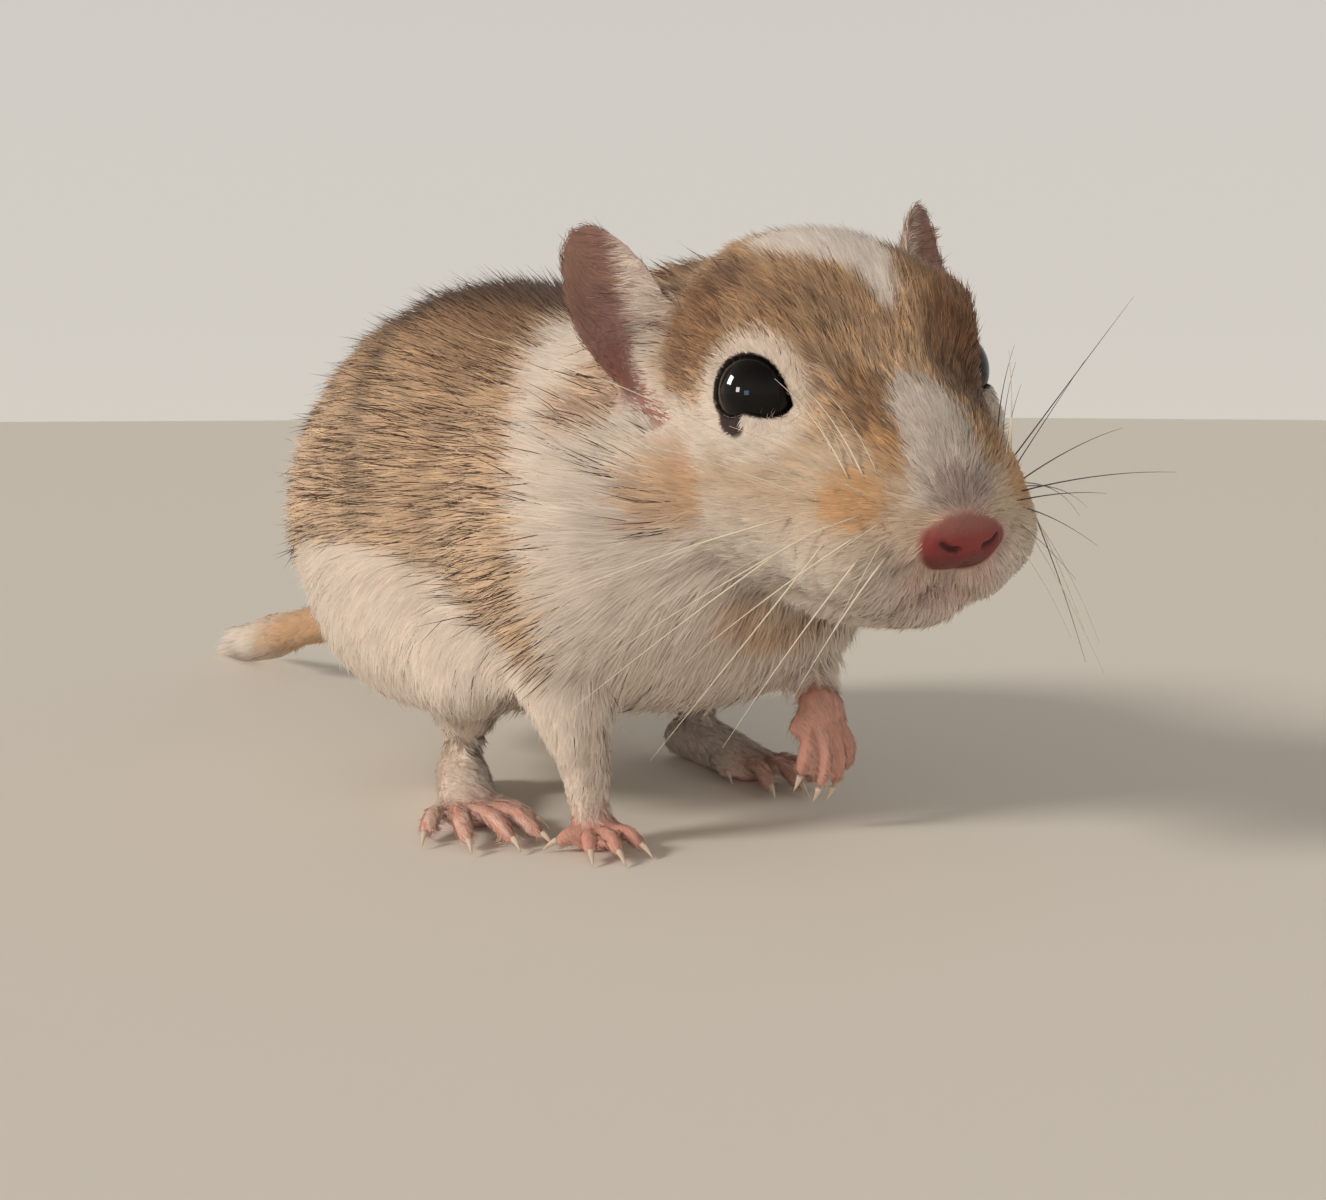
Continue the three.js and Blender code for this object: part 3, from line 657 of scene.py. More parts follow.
# Front edge of the brown flank on the right side: how far back it lies at each height
SHOULDER_HEIGHT = np.array([14, 18, 22, 25, 30, 33, 36, 40, 44, 47, 52])
SHOULDER_EDGE = np.array([-10.5, -10.1, -10, -9.9, -8, -6, -3.4, 0.5, 3, 4.6, 6])
# Upper edge of the white thigh and belly: its height at each distance back
BELLY_BACK = np.array([-14, -9, -5, 2.5, 14, 20, 31, 44, 50])
BELLY_EDGE = np.array([12, 14.6, 18.1, 21.6, 24.1, 24.7, 24, 19, 15])


def spot(points, centre, radius):
    away = np.linalg.norm((points - np.array(centre)) / np.array(radius), axis=1)
    return fade(away, 0.75, 1.25)


def mix(base, *layers):
    """Lays tones over a base: a tone and its amount for each layer."""
    for over, amount in zip(layers[::2], layers[1::2]):
        amount = np.asarray(amount)[..., None]
        base = base * (1 - amount) + over * amount
    return base


def vectors(x, y, z):
    """A row for each point out of three columns or numbers."""
    return np.stack(np.broadcast_arrays(x, y, z), axis=-1)


def on_sides(side, left):
    """What stands on the left side for each point, mirrored where the side is -1."""
    return vectors(side * left[0], left[1], left[2])


def ear_axes(side):
    """Up along the ear, out of its opening, and towards its front edge, in the head's frame."""
    up = unit(on_sides(side, EAR_UP))
    facing = on_sides(side, EAR_FACING)
    facing = unit(facing - up * (facing * up).sum(1)[:, None])
    return up, facing, np.cross(facing, up) * side[:, None]


def ear_place(head):
    """How far up the ear a point lies, from 0 to 1, how far towards its front edge, and if it is in the cup."""
    side = np.sign(head[:, 0])
    up, facing, ahead = ear_axes(side)
    away = head - on_sides(side, EAR_ROOT)
    upward = (away * up).sum(1) / EAR_LENGTH
    forward = (away * ahead).sum(1) / (EAR_WIDTH / 2)
    middle = (2.2 * forward**2 + 0.9 * (2 * upward - 1) ** 2).clip(0, 5)
    cup = smooth_step((away * facing).sum(1) - middle, -0.2, 0.3)
    return upward, forward, cup


def markings(points, weights, jitter):
    """Colour of the coat, share of dark ticks and tone of bare skin at each point. Jitter roughens the edges."""
    body = in_body(points) + jitter
    head = in_head(points) + jitter * 0.6
    part = {name: weights[:, i] for i, name in enumerate(PARTS)}
    x, y, z = body.T
    hx, hy, hz = head.T
    on_head = np.clip(part["head"] + part["lower_jaw"] + part["nose"], 0, 1)

    # Trunk
    ridge_half = np.where(x < 0, np.interp(y, [0, 8, 16, 25], [4, 5.5, 8, 12]), 5)
    ridge = fade(np.abs(x) - ridge_half, -2, 2.5) * smooth_step(z, 34, 42) * smooth_step(y, -2, 8)
    ridge *= 1 - 0.8 * smooth_step(y, 25, 31)
    # Where the body bends the coat parts in a band, painted darker and greyer: partly the grey underfur showing,
    # partly painted shade in the parting
    parting_underfur_and_shade = bell(y - 20 - 0.3 * (z - 34), 1.6) * smooth_step(z, 24, 30) * (0.25 + 0.75 * (x < 0))
    behind_white = bell(y - 8.5, 3.2) * smooth_step(z, 22, 28)
    before_edge = y - np.interp(z, SHOULDER_HEIGHT, SHOULDER_EDGE)
    nape = fade(np.abs(x - 0.8), 4, 8) * smooth_step(z, 42, 46)
    shoulder = fade(before_edge, -0.6, 1.4) * (1 - nape)
    belly = fade(z - np.interp(y, BELLY_BACK, BELLY_EDGE), -0.8, 1.6)
    white = np.clip(np.maximum(shoulder, belly), 0, 1)
    shade = mix(
        SANDY,
        BROWN, 0.6 * smooth_step(z, 34, 47),
        UMBER, 0.6 * smooth_step(z, 42, 50),
        SANDY_PALE, 0.6 * smooth_step(y, 24, 40) * fade(z, 30, 44),
        SANDY_PALE, 0.5 * fade(z, 24, 34),
        SLATE * 0.3 + UMBER * 0.35, 0.85 * ridge,
        # Grey of the parting: underfur and painted shade
        SLATE * 0.55, 0.5 * parting_underfur_and_shade,
        UMBER, 0.22 * behind_white,
        WHITE, white,
    )
    ticks = (1 - white) * 0.9
    front_rim = white * fade(before_edge, -5, 0)
    ticks = np.maximum(ticks, 0.12 * (white - front_rim) * fade(y, 4, 8))
    for side in (-1, 1):
        cheek = spot(body, (side * 11.8 + 1.5, -17.6, 31), (4, 3.8, 3.6))
        behind_ear = spot(body, (side * 12 + 1.5, -8.4, 38.5), (5, 3.2, 4.6))
        under_ear = spot(body, (side * 13 + 1.5, -12.5, 34.5), (4.5, 5, 3))
        shade = mix(shade, ORANGE * 0.93, 0.6 * cheek, TAN, 0.65 * behind_ear)
        ticks = np.maximum.reduce([ticks, 0.4 * cheek, 0.7 * behind_ear, 0.35 * under_ear])
    chest = spot(body, (1, -22, 20), (8, 5, 4.2))
    shade = mix(shade, TAN, 0.75 * chest)

    # Head
    slate_patch = np.maximum(*(spot(head, (s * 8.3, 8.5, 7.6), (2.2, 3, 2)) for s in (-1, 1)))
    temple = smooth_step(np.abs(hx + 0.3), 4.5, 8.5) * smooth_step(hz, 1, 4) * smooth_step(hy, -8, -3)
    before_ear = np.maximum(*(spot(head, (s * 10.4, 8.4, 3), (3.4, 5, 5)) for s in (-1, 1)))
    low_edge = np.interp(hy, [-14, -10, -4, 2, 8, 14], [-0.6, 0.2, -0.6, -1.4, -1.6, -2])
    low = fade(hz - low_edge, -1.1, 1.4)
    face = mix(
        BROWN * 0.3 + SANDY * 0.7,
        BROWN, smooth_step(hz, 4, 9) * 0.35,
        # The far left side of the head is darker: partly browner fur, partly painted shade of the side turned away
        # from the sun
        UMBER * 0.8, 0.6 * smooth_step(hx, 2.5, 6) * smooth_step(hz, -2, 1),
        SLATE * 0.5, 0.55 * slate_patch,
        UMBER, 0.7 * spot(head, (-4.3, -7.5, 2.4), (1.9, 5, 2.9)),
        # A darker patch over the left brow: partly brown fur, partly painted shade on the far side
        UMBER * 0.8, 0.75 * spot(head, (5.2, -5, 4), (3.2, 6.5, 5)),
        UMBER, 0.4 * temple,
        UMBER, 0.6 * before_ear,
        CREAM * 0.88, low,
        WHITE * 0.93, low * fade(hz, -10, -4),
    )
    face_ticks = (1 - low) * 0.65
    for side in (-1, 1):
        place = np.array([side * 9.6, -0.6, 1.0])
        ring = fade(np.linalg.norm((head - place) / [4.6, 4.6, 4.9], axis=1), 0.92, 1.25)
        pad = spot(head, (side * 7.6, -11.6, -3.2), (2.8, 2.6, 2.4))
        face = mix(
            face,
            WHITE, ring * 0.9,
            WHITE, spot(head, (side * 12.6, 5.2, -3.4), (3.4, 4.4, 2.6)),
            ORANGE, 0.8 * pad,
            ORANGE, 0.6 * spot(head, (side * 13.8, 5.2, -7.8), (3.6, 4.2, 4)),
            ORANGE * 0.8, 0.7 * spot(head, (side * 4.6, -11.6, 0.4), (1.3, 2.6, 2)),
        )
        face_ticks *= 1 - ring
        face_ticks *= 1 - 0.9 * pad
    blaze_half = np.interp(hy, [-15, -13.5, -11.5, -9, -7.5, -6.2], [4.2, 3.2, 2.8, 2.4, 1.7, 0.2])
    blaze = fade(np.abs(hx + 0.7) - blaze_half, -0.5, 0.5) * fade(hy, -7, -6)
    blaze *= smooth_step(hz, -4.2, -2.2)
    wedge_half = np.interp(hy, [-1.8, 0.5, 2.6, 5, 8, 12, 14], [0.2, 1.2, 1.9, 3.8, 5.2, 4.6, 0.5])
    wedge_middle = np.interp(hy, [-1, 2.6, 5, 8], [0.9, 1.3, 0.5, -0.2])
    crown = fade(np.abs(hx - wedge_middle) - wedge_half, -0.8, 0.8) * smooth_step(hz, 4, 6)
    crown *= smooth_step(hy, -2, -1) * fade(hy, 12, 14)
    face = mix(
        face,
        WHITE * 0.84, blaze,
        colour(146, 120, 116), 0.6 * spot(head, (0.1, -14.8, -2.1), (3, 2.2, 1.9)),
        WHITE * [1.05, 1.08, 1.12], crown,
        mix(WHITE, PINK, 0.45), 0.7 * spot(head, (0, -13, -9), (5, 4.4, 4.6)),
    )
    face_ticks *= 1 - blaze
    face_ticks *= 1 - crown
    shade = mix(shade, face, on_head)
    ticks = ticks * (1 - on_head) + face_ticks * on_head

    # Tail, ears and feet
    ticks *= 1 - part["tail"]
    feet = part["forepaw"] + part["hind_foot"]
    legs = part["foreleg"] + part["hind_leg"]
    toes = fade(y, -1, 6)
    shade = mix(
        shade,
        mix(TAIL_BUFF, WHITE, smooth_step(y, 84, 94) * 0.85), part["tail"],
        # Forelegs and hind feet are painted brighter than the white coat elsewhere: painted light that lifts the
        # shade on them; the pink of the toes is their own
        WHITE * 1.06, np.clip(part["foreleg"], 0, 1),
        mix(WHITE * 1.02, PINK * 0.5 + WHITE * 0.6, toes), part["hind_foot"],
        PINK * 0.75 + WHITE * 0.3, part["forepaw"],
    )
    ticks *= 1 - np.clip(feet + legs * 0.8, 0, 1)
    upward, forward, cup = ear_place(head)
    strip_start = np.interp(upward, [0.3, 0.5, 0.8, 0.95], [-0.2, -0.25, -0.08, 0.05])
    strip = smooth_step(forward - strip_start, -0.1, 0.15) * cup * smooth_step(upward, 0.2, 0.34)
    ticks = ticks * (1 - part["ear"]) + 0.8 * cup * (1 - strip) * part["ear"]
    ear_edge = smooth_step(forward, 0.55, 0.85) * fade(upward, 0.5, 0.75)
    ear_coat = mix(TAN * 0.35 + EAR_MAUVE * 0.5, WHITE, strip, BROWN * 0.85, ear_edge * 0.9)
    shade = mix(shade, ear_coat, part["ear"])

    # Bare skin
    ear_rim = smooth_step(np.hypot(forward, (upward - 0.5) * 2), 0.86, 1.0)
    ear_tone = mix(
        EAR_MAUVE,
        EAR_ROSE, fade(upward, 0.15, 0.5),
        WHITE * 0.6 + EAR_MAUVE * 0.4, 0.75 * strip,
        BROWN * 0.7, 0.9 * ear_edge,
        PINK * 0.5 + EAR_MAUVE * 0.5, 0.25 * ear_rim,
    )
    leather = nose_leather(head, 0.12)
    nose_tone = mix(
        NOSE_PINK * 1.2,
        NOSE_PINK * 0.6, fade(hz, -7.8, -5.4),
        colour(146, 104, 92), 0.7 * smooth_step(hz, -5.6, -3.8),
        NOSE_PINK * 0.75, smooth_step(hx, 1.5, 3.5) * 0.6,
    )
    bare = mix(
        PINK,
        ear_tone, part["ear"],
        mix(colour(170, 138, 128), nose_tone, leather), np.maximum(part["nose"], leather),
        # The nostrils and other deep creases of the nose leather are painted dark: painted shade of openings that
        # are only shallow creases in the skin
        NOSTRIL_SHADE, leather * smooth_step(crease_depth(head), 0.2, 0.6) * 0.85,
        NOSE_PINK * 0.8, (hz < -8) * on_head * bell(near_line(head, CLEFT), 0.5),
    )
    return shade, np.clip(ticks, 0, 1), bare


def paint(mesh, name, colours):
    attribute = mesh.attributes.new(name, "FLOAT_COLOR", "POINT")
    full = np.ones((len(colours), 4), np.float32)
    full[:, :3] = np.clip(colours, 0, 1)
    attribute.data.foreach_set("color", full.ravel())


def lid_corners(head, clear, middle, size):
    """1 at the rear corner of each lower lid, 0 away from it. Middle and size lie in the lids' plane."""
    near = 0
    for side in (-1, 1):
        axis, ahead, rise = eye_frame(side)
        away = head - EYE_MIDDLES[side]
        apart = (np.stack([away @ ahead, away @ rise], axis=1) - middle) / size
        corner = fade(np.linalg.norm(apart, axis=1), 0.8, 1.2)
        near = near + corner * ((np.abs(clear) < 3) & (away @ axis > -1.5))
    return near


BARE_PARTS = ["nose", "ear", "forepaw", "hind_foot"]
coat_tone, tickedness, bare_tone = markings(points, weights, np.zeros_like(points))
face_place = in_head(points)
clear, _ = beside_lids(face_place)
notch = bell(near_line(fold_side(face_place), EAR_NOTCH), 0.9)
bareness = np.clip(belongs(weights, *BARE_PARTS), 0, 1)
bareness *= 1 - 0.8 * belongs(weights, "hind_foot") * smooth_step(in_body(points)[:, 1], 0, 6)
bareness = np.maximum.reduce([
    bareness, nose_leather(face_place, 0.12), bell(near_line(face_place, CLEFT), 0.5), notch
])
skin_tone = mix(
    mix(coat_tone * 0.78, PINK * 0.85, 0.2),
    SLATE * 0.7, tickedness * 0.6,
    mix(bare_tone, EAR_ROSE, notch), bareness,
    WHITE * 1.1, bell(clear - 1.2, 1.3),
    DARK, fade(clear, 0.1, 0.28),
    # The rear corner of the lower lid is bare and dark
    colour(58, 42, 40), lid_corners(face_place, clear, [0.3, -2.4], [1.5, 0.95]),
)
paint(skin.data, "tone", skin_tone)


def add_node(tree, kind, **values):
    """A shader node with its inputs set by name, an underscore for each space."""
    node = tree.nodes.new("ShaderNode" + kind)
    for name, value in values.items():
        node.inputs[name.replace("_", " ")].default_value = value
    return node


def wire(tree, *links):
    """Links a node's output to another's input, four words for each link."""
    for source, output, target, entry in zip(*(links[k::4] for k in range(4))):
        tree.links.new(source.outputs[output], target.inputs[entry])


def node_material(name, **values):
    material = bpy.data.materials.new(name)
    material.use_nodes = True
    shader = material.node_tree.nodes["Principled BSDF"]
    for entry, value in values.items():
        shader.inputs[entry.replace("_", " ")].default_value = value
    return material, material.node_tree, shader


def add_tone(tree, shader, scale, spread):
    """Base colour from the piece's painted tone, with a fine mottle."""
    tone, place, blend = (add_node(tree, kind) for kind in ("Attribute", "TexCoord", "VectorMath"))
    tone.attribute_name = "tone"
    blend.operation = "SCALE"
    noise = add_node(tree, "TexNoise", Scale=scale, Detail=4)
    level = add_node(tree, "MapRange", To_Min=1 - spread, To_Max=1 + spread)
    wire(
        tree, place, "Object", noise, "Vector", noise, "Fac", level, "Value", tone, "Color", blend, 0,
        level, "Result", blend, "Scale", blend, "Vector", shader, "Base Color",
    )
    return place


skin_material, tree, shader = node_material(
    "gerbil_skin", Roughness=0.52, Specular_IOR_Level=0.35,
    Subsurface_Weight=0.15, Subsurface_Radius=(1.0, 0.4, 0.25), Subsurface_Scale=0.0008,
)
place = add_tone(tree, shader, 900, 0.12)
pores = add_node(tree, "TexVoronoi", Scale=2600)
bump = add_node(tree, "Bump", Strength=0.35, Distance=0.00012)
wire(tree, place, "Object", pores, "Vector", pores, "Distance", bump, "Height", bump, "Normal", shader, "Normal")
skin.data.materials.clear()
skin.data.materials.append(skin_material)
select_only(skin)
bpy.ops.object.shade_smooth()
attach(skin, "root")

# ---- Eyes ----
# The eyeballs are large, black and wet, and stand a third of their depth out of the head, for sight all round.
# Thin bare lids, dark as the eye, lie close on each ball, and the skin is laid round them.


def wavering_material(name, scale, dark, light, **values):
    """A material that wavers finely between two tones."""
    material, tree, shader = node_material(name, **values)
    place, ramp = add_node(tree, "TexCoord"), add_node(tree, "ValToRGB")
    noise = add_node(tree, "TexNoise", Scale=scale)
    for stop, tone in zip(ramp.color_ramp.elements, (dark, light)):
        stop.color = (*tone, 1)
    wire(tree, place, "Object", noise, "Vector", noise, "Fac", ramp, "Fac", ramp, "Color", shader, "Base Color")
    return material


eye_material = wavering_material(
    "wet_eye", 700, (0.001, 0.001, 0.001), (0.006, 0.004, 0.003), Roughness=0.03, Specular_IOR_Level=0.22
)
lid_material = wavering_material(
    "lid_skin", 1500, colour(18, 14, 14), colour(40, 30, 29), Roughness=0.55, Specular_IOR_Level=0.25
)
# Rings of the lids from the eyeball outwards: height over the ball and distance from the opening's edge
LID_RINGS = ((0.05, -0.1), (0.14, -0.04), (0.17, 0.04), (0.1, 0.14), (-0.25, 0.22), (-0.5, 0.06))

for mark, side in (("R", -1), ("L", 1)):
    low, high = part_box("eye_" + mark)
    centre = (low + high) / 2
    bpy.ops.object.select_all(action="DESELECT")
    bpy.ops.mesh.primitive_uv_sphere_add(segments=64, ring_count=40, radius=EYE_RADIUS, location=centre)
    eye = bpy.context.object
    eye.name = "eyeball_" + mark
    bpy.ops.object.transform_apply(location=True, rotation=True, scale=True)
    bpy.ops.object.shade_smooth()
    eye.data.materials.append(eye_material)
    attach(eye, "root")
    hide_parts("eye_" + mark)

    axis, ahead, rise = (HEAD_TURN @ direction for direction in eye_frame(side))
    turns = np.radians(np.arange(0, 360, 6))
    reach = np.interp(np.degrees(turns), LID_TURNS, LID_REACH) * MM
    rings = []
    for lift, grow in LID_RINGS:
        out = reach + grow * MM
        level = np.sqrt(np.maximum((EYE_RADIUS + 0.05 * MM) ** 2 - reach**2, 0)) + (lift - 0.1) * MM
        rings.append(
            np.array(centre) + axis * level[:, None]
            + (np.cos(turns) * out)[:, None] * ahead + (np.sin(turns) * out)[:, None] * rise
        )
    lids = mesh_piece("eyelids_" + mark, np.concatenate(rings), ring_faces(len(rings), len(turns), closed=True))
    edit_all(lids, OUTWARD)
    apply_modifier(lids, "SUBSURF", levels=1, render_levels=1)
    bpy.ops.object.shade_smooth()
    lids.data.materials.append(lid_material)
    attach(lids, "root")

# ---- Coat ----
# Short dense fur in fine tapering blades that lie back along the body, drawn together in small locks.
# Each blade grows from the skin and is laid along it, so the coat follows the skin's curves. Dark-tipped guard
# hairs tick the brown parts.

# Blade length and width in millimetres, blades per square millimetre, and lift of the tips as a share of length
COAT = dict(
    torso=(4.8, 0.115, 26, 0.27), neck=(4.2, 0.11, 28, 0.27), head=(2.8, 0.085, 44, 0.25),
    lower_jaw=(1.9, 0.08, 42, 0.22), nose=(0.55, 0.045, 60, 0.16), ear=(1.5, 0.05, 26, 0.12),
    foreleg=(2.0, 0.085, 38, 0.2), hind_leg=(3.0, 0.1, 34, 0.2), forepaw=(0.9, 0.045, 60, 0.14),
    hind_foot=(1.3, 0.05, 70, 0.14), tail=(2.6, 0.09, 30, 0.22),
)
SHARE, WIDER = ((1.0, 1.0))
# Places along a blade, how much of its lift it has there, and its width there
ALONG, RISE, TAPER = np.array([(0, 0.5, 1.0), (0, 0.7, 1.0), (0.9, 1.0, 0)])


def by_part(weights, column):
    return part_values(weights, {part: COAT[part][column] for part in PARTS})


def flow(points, weights):
    """The lie of the coat: back from the nose, along the trunk and the tail, down the legs, out along the feet."""
    head = in_head(points)
    _, y, z = in_body(points).T
    trunk = vectors(0, 1, -0.08 - 0.5 * fade(z, 12, 32))
    from_nose = head - np.array([0, -19, -3.5])
    from_nose[:, 2] -= 2.0 * fade(head[:, 2], -8, 0)
    from_nose /= np.linalg.norm(from_nose, axis=1)[:, None]
    face = from_nose @ HEAD_TURN.T
    face += np.array([0, 0.5, 0]) * smooth_step(head[:, 1], 2, 12)[:, None]
    # Round the eye the hair parts and lies away from the lids
    clear, outward = beside_lids(head)
    outward = outward @ HEAD_TURN.T
    towards = np.minimum((face * outward).sum(1), 0)
    face += outward * ((0.7 - 1.1 * towards) * fade(clear, 0.5, 3.5))[:, None]
    up, _, ahead = ear_axes(np.sign(head[:, 0]))
    _, _, cup = ear_place(head)
    ear = (up * (1 - 0.6 * cup)[:, None] - ahead * (0.25 + 0.75 * cup)[:, None]) @ HEAD_TURN.T
    lies = {
        "torso": trunk, "neck": trunk + [0, 0, -0.1], "head": face, "lower_jaw": face + [0, 0, -0.3],
        "nose": face, "ear": ear,
        "foreleg": [0, 0.25, -1], "hind_leg": vectors(0, 0.3 + 0.25 * smooth_step(y, 8, 30), -0.9),
        "forepaw": [0, -0.8, -0.6], "hind_foot": [0, -1, -0.25], "tail": [0, 1, -0.2],
    }
    return sum(weights[:, i : i + 1] * lies[part] for i, part in enumerate(PARTS))


mesh = skin.data
mesh.calc_loop_triangles()
points, normals = read(mesh.vertices, "co", 3), unit(read_normals(mesh))
triangles = read(mesh.loop_triangles, "vertices", 3, np.int32)
corner_of = read(mesh.loop_triangles, "loops", 3, np.int32)
unwrap = read(mesh.uv_layers["OFBake"].data, "uv", 2, np.float32)
lie = unit(flow(points, weights))
lie = unit(lie - normals * (lie * normals).sum(1)[:, None])
density = by_part(weights, 2) * SHARE
body_points, head_points = in_body(points), in_head(points)
density *= smooth_step(body_points[:, 2], 0.5, 1.6)
density *= fade(body_points[:, 1], 84, 90)
clear, _ = beside_lids(head_points)
density *= smooth_step(clear, 0.12, 0.3) * (1 + 1.2 * fade(clear, 1, 3))
density *= 1 - lid_corners(head_points, clear, [0.7, -2.4], [2.0, 1.0])

# The nose leather and the lower notch of the ear are bare, the toes and the inside of the ears nearly so
density *= 1 - nose_leather(head_points, 0.1)
density *= 1 - 0.95 * bell(near_line(fold_side(head_points), EAR_NOTCH), 0.95)
density *= 1 - 0.9 * smooth_step(crease_depth(head_points), 0.1, 0.3)
upward, forward, cup = ear_place(head_points)
on_ear = belongs(weights, "ear")
bare_cup = cup * fade(forward, -0.1, 0.3) * smooth_step(upward, 0.05, 0.15)
density *= 1 - 0.45 * on_ear * bare_cup
front_edge = on_ear * smooth_step(forward, 0.55, 0.85) * fade(upward, 0.5, 0.75)
density *= 1 + 1.2 * front_edge
on_toes = belongs(weights, "hind_foot") * fade(body_points[:, 1], -2, 4)
density *= 1 - 0.55 * np.clip(on_toes + belongs(weights, "forepaw"), 0, 1)

# Before the opening of the ear the hair of the head is short
ear_tree = search_tree(points[on_ear > 0.5])
from_ear = np.full(len(points), FAR)
beside_ear = (np.abs(head_points[:, 0]) > 6) & (np.abs(head_points[:, 1] - 8) < 12) & (head_points[:, 2] > -14)
from_ear[beside_ear] = [ear_tree.find(p)[2] / MM for p in points[beside_ear]]
side = np.sign(head_points[:, 0])
before_opening = ((head_points - on_sides(side, EAR_ROOT)) * ear_axes(side)[1]).sum(1)
from_ear[(on_ear > 0.5) | (before_opening < 0.4) | (head_points[:, 2] > 5)] = FAR

a, b, c = (points[triangles[:, i]] for i in range(3))
area = np.linalg.norm(np.cross(b - a, c - a), axis=1) / 2 / MM**2
expected = area * density[triangles].mean(axis=1)
total = int(expected.sum())
pick, u, v = scatter(total, expected)
share = np.stack([1 - u - v, u, v], axis=1)


def spread(values, chosen, shares):
    return (values[triangles[chosen]] * shares[:, :, None]).sum(axis=1)


roots = spread(points, pick, share)
root_normals = unit(spread(normals, pick, share))
root_weights = spread(weights, pick, share)
root_uv = (unwrap[corner_of[pick]] * share[:, :, None]).sum(axis=1)
length = by_part(root_weights, 0)
width = by_part(root_weights, 1) * WIDER
lift = by_part(root_weights, 3)
root_edge = spread(front_edge[:, None], pick, share)[:, 0]
length *= 1 + 1.1 * root_edge
width *= 1 + 0.9 * root_edge
root_head = in_head(roots)
on_head = belongs(root_weights, "head")
muzzle = fade(root_head[:, 1], -15, 6)
length *= 1 - on_head * muzzle * 0.62
width *= 1 - on_head * muzzle * 0.3
clear, _ = beside_lids(root_head)
length *= 0.34 + 0.66 * smooth_step(clear, 0, 4.5)
length *= 0.3 + 0.7 * smooth_step(spread(from_ear[:, None], pick, share)[:, 0], 0.3, 4)
length *= 0.16 + 0.84 * smooth_step(near_line(fold_side(root_head), EAR_NOTCH), 0.8, 4.5)
# Shorter towards the wrists and ankles, on the chest and on the belly
root_z = in_body(roots)[:, 2]
length *= 1 - 0.62 * belongs(root_weights, "hind_leg", "foreleg") * fade(root_z, 4, 13)
length *= 1 - 0.28 * belongs(root_weights, "torso", "neck") * fade(root_z, 12, 28)

# Guides: one blade in a dozen is laid over the skin step by step, and its neighbours follow it
GUIDE_EVERY = 12
guides = np.arange(0, total, GUIDE_EVERY)
surface = BVHTree.FromPolygons([tuple(p) for p in points], triangles.tolist(), all_triangles=True)
guide_nodes = np.empty((len(guides), len(ALONG), 3))
# The two sides of a thin ear are told apart by a step along the normal
SIDES_APART = 1.6 * MM
guide_tree = search_tree(roots[guides] + root_normals[guides] * SIDES_APART)
guide_sway = rng.normal(0, 0.16, len(guides))
for g, k in enumerate(guides):
    place, normal = roots[k], root_normals[k]
    height = length[k] * lift[k] * MM
    guide_nodes[g, 0] = place
    step = length[k] * MM / 2
    direction = spread(lie, pick[k : k + 1], share[k : k + 1])[0]
    direction = direction + np.cross(normal, direction) * guide_sway[g]
    at = place
    for s in (1, 2):
        direction = direction - normal * (direction @ normal)
        direction /= np.linalg.norm(direction) + 1e-12
        at, normal, face, _ = surface.find_nearest(Vector(at + direction * step))
        at, normal = np.array(at), np.array(normal)
        guide_nodes[g, s] = at + normal * height * RISE[s]
        direction = 0.6 * direction + 0.4 * lie[triangles[face][0]]

nearest = np.array([guide_tree.find(p)[1] for p in roots + root_normals * SIDES_APART])
guide_length = length[guides][nearest]
offsets = (guide_nodes - guide_nodes[:, :1])[nearest]
stretch = (length / guide_length) * rng.uniform(0.72, 1.12, total)
sway = unit(np.cross(root_normals, offsets[:, 1])) * (rng.normal(0, 0.09, total) * length * MM)[:, None]
nodes = roots[:, None] + offsets * stretch[:, None, None] + sway[:, None] * (ALONG**1.3)[None, :, None]
root_ticks = markings(roots, root_weights, np.zeros_like(roots))[1]
whiteness = root_ticks < 0.2
on_top = smooth_step(in_body(roots)[:, 2], 38, 47)
STRAY_SHARE, STRAY_ON_TOP = 0.07, 0.26
stray = rng.random(total) < STRAY_SHARE + STRAY_ON_TOP * on_top
lifted = rng.normal(0, 0.045, total) + stray * rng.uniform(0.05, 0.28, total)
nodes += root_normals[:, None] * (lifted * length * MM)[:, None, None] * (ALONG**1.5)[None, :, None]
gather = rng.uniform(0.15, 0.5, total) * (1 - stray) * np.where(whiteness, 0.5, 1.0)
target = guide_nodes[nearest]
nodes += (target - nodes) * (gather[:, None] * ALONG[None, :] ** 2)[:, :, None] * 0.8
FLOOR_LEVEL = 0.05 * MM
nodes[:, :, 2] = np.maximum(nodes[:, :, 2], FLOOR_LEVEL)

# Colours follow the place where the outer half of each blade lies
shown = nodes[:, 1] * 0.4 + nodes[:, 2] * 0.6 - root_normals * (0.5 * MM)
tone, ticks, _ = markings(shown, root_weights, rng.normal(0, 0.5, (total, 3)))
lock_warmth = rng.normal(0, 1, len(guides))[nearest]
on_agouti = smooth_step(ticks, 0.15, 0.5)
warm = on_agouti * (0.4 + 0.3 * on_head)
WARMER, DARKER = (1.24, 1.19, 1.06), (0.56, 0.52, 0.5)
tone = mix(tone, tone * WARMER, warm * np.clip(lock_warmth, 0, 1.6))
tone = mix(tone, tone * DARKER, warm * np.clip(-lock_warmth, 0, 1.6) * 0.6)
lock_light = 1 + rng.normal(0, 0.05, len(guides))[nearest] * (1 + on_agouti)
hair_light = 1 + rng.normal(0, 0.06, total) * (1 + 1.6 * on_agouti)
brightness = np.clip(lock_light * hair_light, 0.6, 1.45)[:, None]
LOCKS_TICKED, TICKS_IN_LOCK, TICKS_BETWEEN = 0.5, 0.18, 0.04
lock_ticked = (rng.random(len(guides)) < LOCKS_TICKED)[nearest]
on_ear = belongs(root_weights, "ear")
tick_share = np.where(lock_ticked, TICKS_IN_LOCK, TICKS_BETWEEN) * (1 - 0.3 * on_head) + 0.35 * on_ear
is_tick = rng.random(total) < ticks * tick_share
root_tone = mix(tone * 0.95, mix(tone * 0.6, SLATE * 0.5, 0.3), ticks)
blade_tones = np.stack([root_tone, tone * 0.95, tone * 1.04], axis=1) * brightness[:, None]
